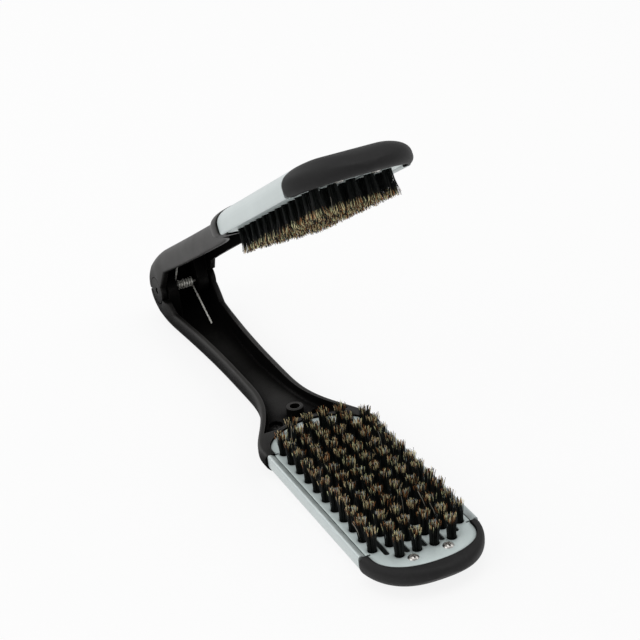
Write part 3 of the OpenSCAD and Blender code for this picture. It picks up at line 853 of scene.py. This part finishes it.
def wire_tree():
    """Round wire along a path."""
    tree = Tree("spring wire", {"Wire": 0.00075})
    radius = tree.times(tree.given["Wire"], 0.5)
    path = tree.get(0, "GeometryNodeMeshToCurve", Mesh=tree.given["Geometry"])
    section = tree.get(0, "GeometryNodeCurvePrimitiveCircle", Resolution=16, Radius=radius)
    inputs = {"Curve": path, "Profile_Curve": section, "Fill_Caps": True}
    return tree.close(tree.get("Mesh", "GeometryNodeCurveToMesh", **inputs))


# ---------- Handle ----------


def handle_stations():
    """Places along the handle, each with how far its section is drawn in."""
    heel_run = HEEL_RUN + HEEL_LEN
    start = HEEL_RUN - heel_run * math.cos(math.radians(6))
    stations = []
    for i in range(10):
        a = math.radians(10 * i)
        stations.append((start + HEEL_ROUND * (1 - math.cos(a)), HEEL_ROUND * (1 - math.sin(a))))
    xs = [start + HEEL_ROUND]
    heel = [HEEL_RUN - heel_run * math.cos(math.radians(a)) for a in range(9, 64, 3)]
    xs += [x for x in heel if start + HEEL_ROUND + 0.1 < x < HINGE_BLEND_X]
    xs += [HINGE_BLEND_X, 8, 10, 12, NECK_END_X]
    xs += [NECK_END_X + (FLARE_END - NECK_END_X) * i / 76 for i in range(1, 77)]
    stations += [(x, 0) for x in xs]
    return stations + [(SHELL_START - 0.6, 0), (SHELL_START - 0.2, 0.13), (SHELL_START, 0.4)]


def handle_blank():
    stations = []
    for x, drawn_in in handle_stations():
        rim_r = RIM_ROUND[0] + (RIM_ROUND[1] - RIM_ROUND[0]) * ease(
            (x - HINGE_BLEND_X) / RIM_ROUND_RUN
        )
        back = arm_back_z(x) + (drawn_in if x < 0 else 0)
        half = half_section(arm_half_w(x) - drawn_in, arm_rim_z(x), back, rim_r)
        stations.append((x, both_sides(half)))
    return loft("handle blank", stations)


def channel_cutter():
    """The hollow of a handle, with rounded floor corners and a softened mouth."""
    start = -HEEL_LEN + HEEL_WALL
    straight_end = CHANNEL_END_X - CHANNEL_ROUND
    inner_w = arm_half_w(straight_end) - HANDLE_WALL
    xs = [start + (POCKET_END_X - start) * i / 12 for i in range(13)] + [POCKET_END_X + 0.3]
    along = (POCKET_END_X + CHANNEL_STEP * i for i in range(1, 62))
    xs += [x for x in along if x < straight_end - 0.5]
    places = [(x, arm_half_w(x) - HANDLE_WALL) for x in xs + [straight_end]]
    for i in range(1, 15):
        ahead, across = super_arc(6 * i, 4)
        places.append((straight_end + CHANNEL_ROUND * ahead, inner_w * across))
    stations, lip = [], MOUTH_LIP
    for x, w in places:
        floor = FLOOR_Z if POCKET_END_X < x < POCKET_END_X + 1 else channel_floor_z(x)
        mouth, corner = arm_rim_z(x) - lip, min(FLOOR_CORNER, w * 0.5)
        half = [(0.0, floor)] + quarter((w - corner, floor + corner), corner, -90, 0, 6)
        half += [
            (w + lip - lip * math.cos(a), mouth + lip * math.sin(a))
            for a in (0.01, 0.4, 0.8, 1.2, 1.57)
        ]
        half.append((w + lip, 5.0))
        stations.append((x, [(-y, z) for y, z in reversed(half[1:])] + half))
    return loft("channel", stations)


def channel_corner(side):
    """The deck's corner beside the plate, which ends a narrow ledge away from the plate's root."""
    start, end = CHANNEL_END_X - CHANNEL_ROUND - 0.4, CHANNEL_END_X + 3.2
    run, power = PLATE_ROOT
    reach = [start + (end - start) * i / 10 for i in range(11)]
    outer = [(x, side * (arm_half_w(x) - HANDLE_WALL)) for x in reach]
    inner = []
    for i in range(12):
        y = DECK_INNER_Y + (abs(outer[-1][1]) - 0.6 - DECK_INNER_Y) * i / 11
        bow = 1 - (1 - (y / POCKET_HALF_W) ** power) ** (1 / power)
        inner.append((min(HINGE_TO_PLATE - DECK_LEDGE + run * bow, reach[-1]), side * y))
    outline = [(start, side * DECK_INNER_Y)] + inner + outer[::-1]
    return prism("channel corner", outline, DECK_Z, 0.5)


def inner_lug():
    low = -HINGE_HALF_W + HANDLE_WALL - 0.6
    stop_z = -LUG_R * STOP_SLOPE - STOP_GAP
    foot = [-LUG_R + (2 * LUG_R + 1.5) * i / 12 for i in range(12, -1, -1)]
    web = [(-LUG_R, stop_z), (0, -STOP_GAP), (LUG_R, -STOP_GAP)]
    web += [(x, channel_floor_z(x) - 1) for x in foot]
    return [
        prism("lug web", web, low, -LUG_IN, axis="Y"),
        rounded_bar("lug", LUG_R, -LUG_OUT, -LUG_IN, 0.35),
    ]


def ear_groove():
    """The fine moulded line that carries the ear's round edge on across the outer wall."""
    floor, clear, sides = HINGE_HALF_W - 0.5, HINGE_HALF_W + 1, 72
    inner, outer = ring(EAR_R - 0.1, sides), ring(EAR_R + 0.22, sides)
    points, faces = [], []
    for k, ((a, b), (c, d)) in enumerate(zip(inner, outer)):
        points += [(a, floor, b), (c, floor, d), (c, clear, d), (a, clear, b)]
        here, there = 4 * k, 4 * ((k + 1) % sides)
        for j, n in ((0, 1), (1, 2), (2, 3), (3, 0)):
            faces.append((here + j, here + n, there + n, there + j))
    return solid("ear groove", points, faces)


def side_cut(name, outline, low=-40, high=40):
    return "CUT", prism(name, outline, low, high, axis="Y")


def boss_profile():
    top = [(BOSS_R, BOSS_TOP_Z - 0.25), (BOSS_R - 0.08, BOSS_TOP_Z - 0.08)]
    return [(BOSS_R, BACK_Z + 2)] + top + [(BOSS_R - 0.25, BOSS_TOP_Z)]


def handle_piece(bore):
    stop = [(-20, -20 * STOP_SLOPE - STOP_GAP), (0, -STOP_GAP), (0, 6), (-20, 6)]
    neck = NECK_END_X + 1
    low_side = [(0, LOW_SIDE_Z), (neck, LOW_SIDE_Z), (neck, 6), (0, 6)]
    sill = -EAR_R - EAR_GAP - 0.1
    chamfer = [(x, x * STOP_SLOPE - SEAM_EDGE) for x in (-20, sill)] + [(sill, 1), (-20, 1)]
    near, far = SEAM_EDGE_Y
    clear = HINGE_HALF_W + 1
    boss_bore = [(BOSS_BORE_R, BACK_Z + 3), (BOSS_BORE_R, 1.0)]
    steps = [
        ("CUT", channel_cutter()),
        ("CUT", channel_corner(-1)),
        ("CUT", channel_corner(1)),
        side_cut("open stop", stop),
        side_cut("low side", low_side, high=-LUG_IN),
        side_cut("seam edge", chamfer, -far, -near),
        side_cut("seam edge", chamfer, near, far),
    ]
    steps += [("ADD", tool) for tool in inner_lug()]
    steps += [
        ("ADD", rounded_bar("ear", EAR_R, HINGE_HALF_W - HANDLE_WALL, HINGE_HALF_W, 0.4)),
        ("CUT", ear_groove()),
        ("ADD", turned("boss", boss_profile(), (BOSS_X, 0))),
        ("CUT", rounded_bar("recess", EAR_R + EAR_GAP, -clear, -LUG_OUT)),
        ("CUT", rounded_bar("bore", bore / 2, -clear, clear)),
        ("CUT", turned("boss bore", boss_bore, (BOSS_X, 0))),
    ]
    x, y = SCREW_POCKET
    wide = SCREW_POCKET_R + 0.2
    wall = [(SCREW_POCKET_R, SCREW_POCKET_Z), (SCREW_POCKET_R, DECK_Z - 0.2)]
    wall += [(wide, DECK_Z + 0.01), (wide, 0.5)]
    steps += plate_room()
    steps += [("CUT", turned("screw pocket", wall, (x, n * y), sides=48)) for n in (-1, 1)]
    return carve(handle_blank(), steps)


# ---------- Bristle plate and shell ----------


def box_plan(half_x, half_y):
    corners = ((-1, -1), (1, -1), (1, 1), (-1, 1))
    return [(PLATE_MID + sx * half_x, sy * half_y) for sx, sy in corners]


def plate_room():
    """Cuts for the plate, and for the roots of the tufts of either arm under it."""
    wide = (COLUMNS - 1) / 2 * COLUMN_PITCH + 2.3
    lower = box_plan(ROWS / 2 * ROW_PITCH + 0.3, wide)
    upper = box_plan((ROWS + 1) / 2 * ROW_PITCH + 2.3, wide - COLUMN_PITCH / 2)
    steps = [("CUT", prism("plate pocket", plate_outline(PLATE_GAP), PLATE_UNDER, 0.5))]
    for plan in (lower, upper):
        steps.append(("CUT", prism("bed room", plan, BED_UNDER, PLATE_UNDER + 0.01)))
    return steps


def plate_piece(arm):
    """A thin pressed plate: rounded edge, vents between the tufts, tuft holes and edge notches."""
    outline, shrunk = plate_outline(0), plate_outline(-0.3)
    points = [
        (x + (u - x) * share, y + (v - y) * share, z)
        for z, share in PLATE_EDGE
        for (x, y), (u, v) in zip(outline, shrunk)
    ]
    plate = solid("plate", points, tube_faces(len(PLATE_EDGE), len(outline)))
    shift = ARM_NAMES.index(arm)
    below = PLATE_UNDER - 1
    thin = box_plan((ROWS + 1) / 2 * ROW_PITCH + 2.2, (COLUMNS - 1) / 2 * COLUMN_PITCH - 1.4)
    steps = [("CUT", prism("thinning", thin, below, PLATE_TOP - PLATE_SHEET))]
    for k in range(1, COLUMNS - shift):
        y = (k - 0.5 - (COLUMNS - 1 - shift) / 2) * COLUMN_PITCH
        outer = shift == 0 and k in (1, COLUMNS - 1)
        half = (ROWS + (0.14 if outer else 0.74)) / 2 * ROW_PITCH
        slot = quarter((PLATE_MID + half, y), VENT_W / 2, -90, 90, 10)
        slot += quarter((PLATE_MID - half, y), VENT_W / 2, 90, 270, 10)
        steps.append(("CUT", prism("vent", slot, below, 0)))
    wide, deep = NOTCH
    for end in (SHELL_START, CAP_START):
        for side in (-1, 1):
            low, high = sorted((side * (PLATE_W / 2 - deep), side * (PLATE_W / 2 + 1)))
            near, far = end - wide / 2, end + wide / 2
            cut = [(near, low), (far, low), (far, high), (near, high)]
            steps.append(("CUT", prism("notch", cut, below, 0)))
    return carve(carve(plate, steps), [("CUT", tuft_holes(arm))])


def tuft_holes(arm):
    """One tool with a round hole for every tuft."""
    points, faces, sides = [], [], 20
    for x, y in tuft_places(arm):
        first = len(points)
        hole = ring(TUFT_HOLE_R, sides)
        points += [(x + a, y + b, z) for z in (PLATE_UNDER - 1, 0.0) for a, b in hole]
        faces += [tuple(first + k for k in face) for face in tube_faces(2, sides)]
    return solid("tuft holes", points, faces)


def tuft_places(arm):
    """Middles of the tufts: short end rows on the lower arm, half a pitch aside on the upper."""
    shift = ARM_NAMES.index(arm)
    last = COLUMNS - 1 - shift
    places = []
    for row in range(shift - 1, ROWS + 1):
        short = 1 if shift == 0 and not 0 <= row < ROWS else 0
        x = PLATE_MID + (row - (ROWS - 1 + shift) / 2) * ROW_PITCH
        for column in range(short, last + 1 - short):
            places.append((x, (column - last / 2) * COLUMN_PITCH))
    return places


def add_bed(piece, arm):
    """Adds the slab under the plate, which closes the view through the vents."""
    places = tuft_places(arm)
    low, high = BED_UNDER + 0.15, PLATE_TOP - PLATE_SHEET - 0.08
    last_x = max(abs(x - PLATE_MID) for x, _ in places)
    last_y = max(abs(y) for _, y in places)
    slabs = [(last_x + 1.9, last_y + 1.9)]
    if arm == "lower":
        slabs = [(last_x - ROW_PITCH / 2 - 0.2, last_y + 1.9)]
        slabs.append((last_x + 1.9, last_y - COLUMN_PITCH / 2))
    bm = bmesh.new()
    bm.from_mesh(piece.data)
    for n, (half_x, half_y) in enumerate(slabs):
        middle = Matrix.Translation((PLATE_MID, 0, (low + high) / 2))
        stretch = Matrix.Diagonal((2 * half_x, 2 * half_y, high - low - 0.02 * n, 1))
        bmesh.ops.create_cube(bm, size=1, matrix=middle @ stretch)
    bm.to_mesh(piece.data)
    bm.free()


def shell_piece():
    """The paddle shell's channel: rounded outer rail, slope, groove and ledge."""
    w, top = SHELL_HALF_W, RIM_Z + 0.1
    flat, inner_back = FLAT_SHARE * w, BACK_Z + SHELL_WALL
    outer = [(flat, BACK_Z)] + round_side(flat, w, BACK_Z, SIDE_TOP_Z, 24)
    rail = quarter((w - RAIL_ROUND, top - RAIL_ROUND), RAIL_ROUND, 0, 112, 10)
    slope = quarter((POCKET_HALF_W + 0.35, PLATE_TOP - 0.3), 0.35, 115, 180, 4)
    ledge = [(POCKET_HALF_W, PLATE_UNDER)]
    ledge += [(PLATE_W / 2 - LEDGE_W, z) for z in (PLATE_UNDER, BED_UNDER)]
    inner = round_side(flat, w - SHELL_WALL, inner_back, SIDE_TOP_Z - SHELL_WALL, 16)[::-1]
    half = outer + rail + slope + ledge + inner + [(flat, inner_back)]
    profile = half + [(-y, z) for y, z in reversed(half)]
    return loft("shell", [(SHELL_START + SEAM, profile), (CAP_START, profile)])


# ---------- Tip cap ----------


def cap_back_at(x):
    t = clamp((x - (CAP_END - CAP_TOE_LEN)) / CAP_TOE_LEN)
    return BACK_Z + CAP_TOE_RISE * (1 - math.sqrt(1 - t * t))


def cap_path():
    """The cap's plan edge, end to end round the nose: points, outward normals and insets."""
    start = CAP_START + SEAM
    edge = nose(CAP_NOSE_X, CAP_HALF_W, CAP_ROUND_LEN, CAP_POWER, 64)
    half = sorted((x, -abs(y)) for x, y in edge[:65] if x > start + 1.0)
    path = [(start + ahead, half[0][1]) for ahead in (0, 0.15, 0.5)] + half
    path += [(x, -y) for x, y in reversed(path[:-1])]
    last = len(path) - 1
    placed = []
    for i, (x, y) in enumerate(path):
        ahead, behind = path[min(i + 1, last)], path[max(i - 1, 0)]
        run = Vector((ahead[0] - behind[0], ahead[1] - behind[1])).normalized()
        drawn_in = {0: 0.5, 1: 0.2}.get(min(i, last - i), 0.0)
        placed.append((Vector((x, y)), Vector((run.y, -run.x)), drawn_in))
    return placed


def cap_blank():
    """A rounded profile swept round the plan edge, with the underside lifted at the toe."""
    flat = (1 - FLAT_SHARE) * CAP_HALF_W
    rows = cap_path()
    first_x = rows[0][0].x
    points = []
    for i in range(19):
        across, depth = super_arc(5 * i, SIDE_POWER)
        for edge, out, drawn_in in rows:
            fullness = 1 - CAP_NOSE_FULLNESS * max(out.x, 0) ** 2
            x, y = edge - out * (flat * (1 - across) * fullness + drawn_in)
            back = cap_back_at(x) + drawn_in
            side = max(SIDE_TOP_Z, back + 0.5)
            points.append((max(x, first_x), y, side - (side - back) * depth))
    for i in range(11):
        a = math.radians(9 * i)
        for edge, out, drawn_in in rows:
            side = max(SIDE_TOP_Z, cap_back_at(edge.x) + 0.5)
            r = min(CAP_RIM_R, CAP_TOP_Z - side - 0.2)
            x, y = edge - out * (r * (1 - math.cos(a)) + drawn_in)
            z = CAP_TOP_Z - r * (1 - math.sin(a)) - drawn_in
            points.append((max(x, first_x), y, z))
    count, top = len(rows), len(points) - len(rows)
    faces = []
    for r in range(0, top, count):
        for i in range(r, r + count - 1):
            faces.append((i, i + 1, i + count + 1, i + count))
    for first in (0, top):
        for i in range(count // 2 - 1):
            faces.append((first + i, first + i + 1, first + count - 2 - i, first + count - 1 - i))
        middle = first + count // 2
        faces.append((middle - 1, middle, middle + 1))
    starts = range(0, len(points), count)
    faces.append(tuple(starts) + tuple(k + count - 1 for k in reversed(starts)))
    return solid("cap blank", points, faces)


# ---------- Spring ----------


def wire_path():
    """The spring's wire: up the lower leg, round the coil, out along the upper leg."""
    start, radius = 270 - LEG_ANGLE, COIL_D / 2
    sweep = start - (90 + LEG_ANGLE + OPEN_ANGLE) + 360 * COIL_TURNS
    rise = sweep / 360 * COIL_PITCH
    drop = math.radians(LEG_ANGLE)
    lift = drop + math.radians(OPEN_ANGLE)
    leg = (-FLOOR_Z - WIRE_D / 2 - 0.05 - radius * math.cos(drop)) / math.sin(drop)

    def on_coil(k):
        a = math.radians(start - sweep * k)
        return Vector((radius * math.cos(a), rise * (0.5 - k), radius * math.sin(a)))

    down = Vector((math.cos(drop), 0, -math.sin(drop)))
    up = Vector((math.cos(lift), 0, math.sin(lift)))
    turns, reach = 28 * COIL_TURNS, (0.08, 0.25, 0.5, 0.75, 1)
    path = [on_coil(0) + down * leg * u for u in reversed(reach)]
    path += [on_coil(k / turns) for k in range(turns + 1)]
    return path + [on_coil(1) + up * leg * u for u in reach]


# ---------- Operators ----------


class BRUSH_OT_stage(Operator):
    """Sets up the pale floor, the soft studio light and the camera"""

    bl_idname = "brush.stage"
    bl_label = "Studio"

    def execute(self, context):
        scene = context.scene
        scene.view_settings.view_transform = "Standard"
        bpy.ops.mesh.primitive_plane_add(size=12, location=(0, 0, -0.0002))
        floor = context.object
        floor.name = "studio_floor"
        floor.data.materials.append(self.floor_material())
        scene.world = self.world()
        for name, place, aim, width, power in (
            ("key softbox", (0.15, -1.15, 0.95), (-0.02, 0, 0.05), 0.9, 4.9),
            ("top softbox", (-0.1, 0.1, 1.5), (-0.05, 0, 0.05), 1.1, 5.8),
            ("side softbox", (-1.1, -0.5, 0.7), (-0.02, 0, 0.06), 0.8, 3.4),
            ("rear softbox", (0.2, 1.1, 1.0), (-0.02, 0, 0.06), 0.8, 2.2),
        ):
            lamp = bpy.data.lights.new(name, "AREA")
            lamp.shape, lamp.size, lamp.energy = "SQUARE", width, power
            made = bpy.data.objects.new(name, lamp)
            made.location = place
            towards = Vector(aim) - Vector(place)
            made.rotation_euler = towards.to_track_quat("-Z", "Y").to_euler()
            scene.collection.objects.link(made)
        camera = bpy.data.objects.new("camera", bpy.data.cameras.new("camera"))
        camera.data.sensor_width = 36
        camera.data.lens = 115.275
        camera.data.clip_start, camera.data.clip_end = 0.01, 50
        camera.location = (0.541036, -0.237587, 0.389913)
        camera.rotation_mode = "QUATERNION"
        camera.rotation_quaternion = Quaternion((0.735035, 0.414153, 0.305323, 0.441564))
        scene.collection.objects.link(camera)
        scene.camera = camera
        return {"FINISHED"}

    def floor_material(self):
        """A pale floor that keeps its shadow and mostly glows white to the camera."""
        paint = Paint("studio floor")
        rays = paint.add("ShaderNodeLightPath").outputs
        seen = paint.math("MAXIMUM", rays["Is Camera Ray"], rays["Is Glossy Ray"])
        glow = paint.get(0, "ShaderNodeEmission", Color=WHITE)
        blend = paint.blend(paint.times(seen, 0.86), paint.shader.outputs["BSDF"], glow)
        paint.give(paint.out.inputs["Surface"], blend)
        return paint.finish(Base_Color=colours().floor, Roughness=0.9, Specular_IOR_Level=0.1)

    def world(self):
        """A soft sky that looks white to the camera."""
        world = bpy.data.worlds.new("studio")
        world.use_nodes = True
        graph = Graph(world.node_tree)
        graph.tree.nodes.clear()
        soft, white = (
            graph.get(0, "ShaderNodeBackground", Color=WHITE, Strength=strength)
            for strength in (0.42, 1.0)
        )
        seen = graph.get("Is Camera Ray", "ShaderNodeLightPath")
        graph.add("ShaderNodeOutputWorld", Surface=graph.blend(seen, soft, white))
        return world


class BRUSH_OT_handles(Operator):
    """Builds the two channel handles with their ears, lugs and screw bosses"""

    bl_idname = "brush.handles"
    bl_label = "Handles"

    def execute(self, context):
        for arm, bore in (("lower", PIN_D), ("upper", PIN_D + 0.1)):
            material = moulded(f"{arm} handle plastic", colours().handle, arm, HANDLE_FINISH)
            dress(handle_piece(bore), arm, "handle_moulding", material, "handle")
        return {"FINISHED"}


class BRUSH_OT_shells(Operator):
    """Builds the two channel-section paddle shells with their rounded rails"""

    bl_idname = "brush.shells"
    bl_label = "Paddle shells"

    def execute(self, context):
        for arm in ARM_NAMES:
            material = drawn_metal(f"{arm} shell metal", colours().rail, arm, 0.36)
            dress(shell_piece(), arm, "paddle_shell", material, "shell")
        return {"FINISHED"}


class BRUSH_OT_plates(Operator):
    """Builds the two vented bristle plates"""

    bl_idname = "brush.plates"
    bl_label = "Bristle plates"

    def execute(self, context):
        for arm in ARM_NAMES:
            material = drawn_metal(f"{arm} plate metal", colours().plate, arm, 0.4)
            dress(plate_piece(arm), arm, "bristle_plate", material, "plate")
        return {"FINISHED"}


class BRUSH_OT_caps(Operator):
    """Builds the two soft tip caps"""

    bl_idname = "brush.caps"
    bl_label = "Tip caps"

    def execute(self, context):
        for arm in ARM_NAMES:
            material = moulded(f"{arm} cap rubber", colours().cap, arm, CAP_FINISH)
            dress(carve(cap_blank(), plate_room()), arm, "tip_cap", material, "cap")
        return {"FINISHED"}


class BRUSH_OT_tufts(Operator):
    """Grows the bristle tufts of both plates, with the bed that holds their roots"""

    bl_idname = "brush.tufts"
    bl_label = "Bristle tufts"

    def execute(self, context):
        tree, material, size = tuft_tree(), bristle_material(), sizes()
        values = {
            "Strands": size.strands,
            "Root Radius": size.tuft_root,
            "Spread": size.tuft_spread,
            "Ragged": size.tuft_ragged,
            "Lean": size.tuft_lean,
            "Height": (BRISTLE_H + PLATE_T) * MM,
            "Strand Radius": size.strand_radius,
            "Material": material,
        }
        for arm in ARM_NAMES:
            points = [(x, y, PLATE_UNDER) for x, y in tuft_places(arm)]
            values["Seed"] = 11 + 20 * ARM_NAMES.index(arm)
            piece = grow(f"{arm} tufts", points, [], tree, values)
            add_bed(piece, arm)
            dress(piece, arm, "bristle_tufts", material, "bristles", 60)
        return {"FINISHED"}


class BRUSH_OT_screws(Operator):
    """Sets the plate screws and the handle screws"""

    bl_idname = "brush.screws"
    bl_label = "Screws"

    def execute(self, context):
        tree, size = screw_tree(), sizes()
        bright = bright_steel("screw steel", colours().steel, 0.3)
        dark = bright_steel("blackened steel", tinted(colours().steel, 0.12), 0.4)
        for arm in ARM_NAMES:
            for title, (x, y), z, head, height, steel in (
                ("plate_screws", PLATE_SCREW, PLATE_TOP, size.screw_head, 0.9, bright),
                ("handle_screws", SCREW_POCKET, SCREW_POCKET_Z, size.small_head, 0.8, dark),
            ):
                points = [(x, side * y, z) for side in (-1, 1)]
                values = {"Head": head, "Height": height * MM, "Material": steel}
                values["Seed"] = 5 + ARM_NAMES.index(arm)
                piece = grow(f"{arm} {title}", points, [], tree, values)
                dress(piece, arm, f"{title}_heads", steel, title)
        return {"FINISHED"}


class BRUSH_OT_hinge(Operator):
    """Winds the torsion spring and finishes the hinge pin"""

    bl_idname = "brush.hinge"
    bl_label = "Hinge pin and spring"

    def execute(self, context):
        steel = bright_steel("pin steel", tinted(colours().steel, 0.6), 0.36)
        set_material(frame["nodes"]["hinge_pin"], steel)
        path = wire_path()
        edges = [(i, i + 1) for i in range(len(path) - 1)]
        wire = bright_steel("spring wire", colours().spring, 0.26, 0.5)
        values = {"Wire": WIRE_D * MM, "Material": wire}
        piece = grow("spring", path, edges, wire_tree(), values)
        name, node = "hinge_torsion_spring", "torsion_spring"
        finish_piece(piece, "lower", name, None, wire, node, 60)
        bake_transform(piece)
        return {"FINISHED"}


class BRUSH_PT_panel(Panel):
    """Lists the pieces of the brush"""

    bl_label = "Straightening brush"
    bl_idname = "BRUSH_PT_panel"
    bl_space_type = "VIEW_3D"
    bl_region_type = "UI"
    bl_category = "Brush"

    def draw(self, context):
        layout = self.layout
        for operator in OPERATORS:
            layout.operator(operator.bl_idname)
        for group in (context.scene.brush_sizes, context.scene.brush_colours):
            box = layout.box()
            for key in group.bl_rna.properties.keys():
                if key not in ("rna_type", "name"):
                    box.prop(group, key)


OPERATORS = (
    BRUSH_OT_stage,
    BRUSH_OT_handles,
    BRUSH_OT_shells,
    BRUSH_OT_plates,
    BRUSH_OT_caps,
    BRUSH_OT_tufts,
    BRUSH_OT_screws,
    BRUSH_OT_hinge,
)
CLASSES = (BrushSizes, BrushColours, *OPERATORS, BRUSH_PT_panel)


def register():
    for cls in CLASSES:
        bpy.utils.register_class(cls)
    bpy.types.Scene.brush_sizes = PointerProperty(type=BrushSizes)
    bpy.types.Scene.brush_colours = PointerProperty(type=BrushColours)


def unregister():
    del bpy.types.Scene.brush_colours
    del bpy.types.Scene.brush_sizes
    for cls in reversed(CLASSES):
        bpy.utils.unregister_class(cls)


def main():
    register()
    bpy.ops.brush.stage()
    bpy.ops.brush.handles()
    bpy.ops.brush.shells()
    bpy.ops.brush.plates()
    bpy.ops.brush.caps()
    bpy.ops.brush.tufts()
    bpy.ops.brush.screws()
    bpy.ops.brush.hinge()


if __name__ == "__main__":
    main()
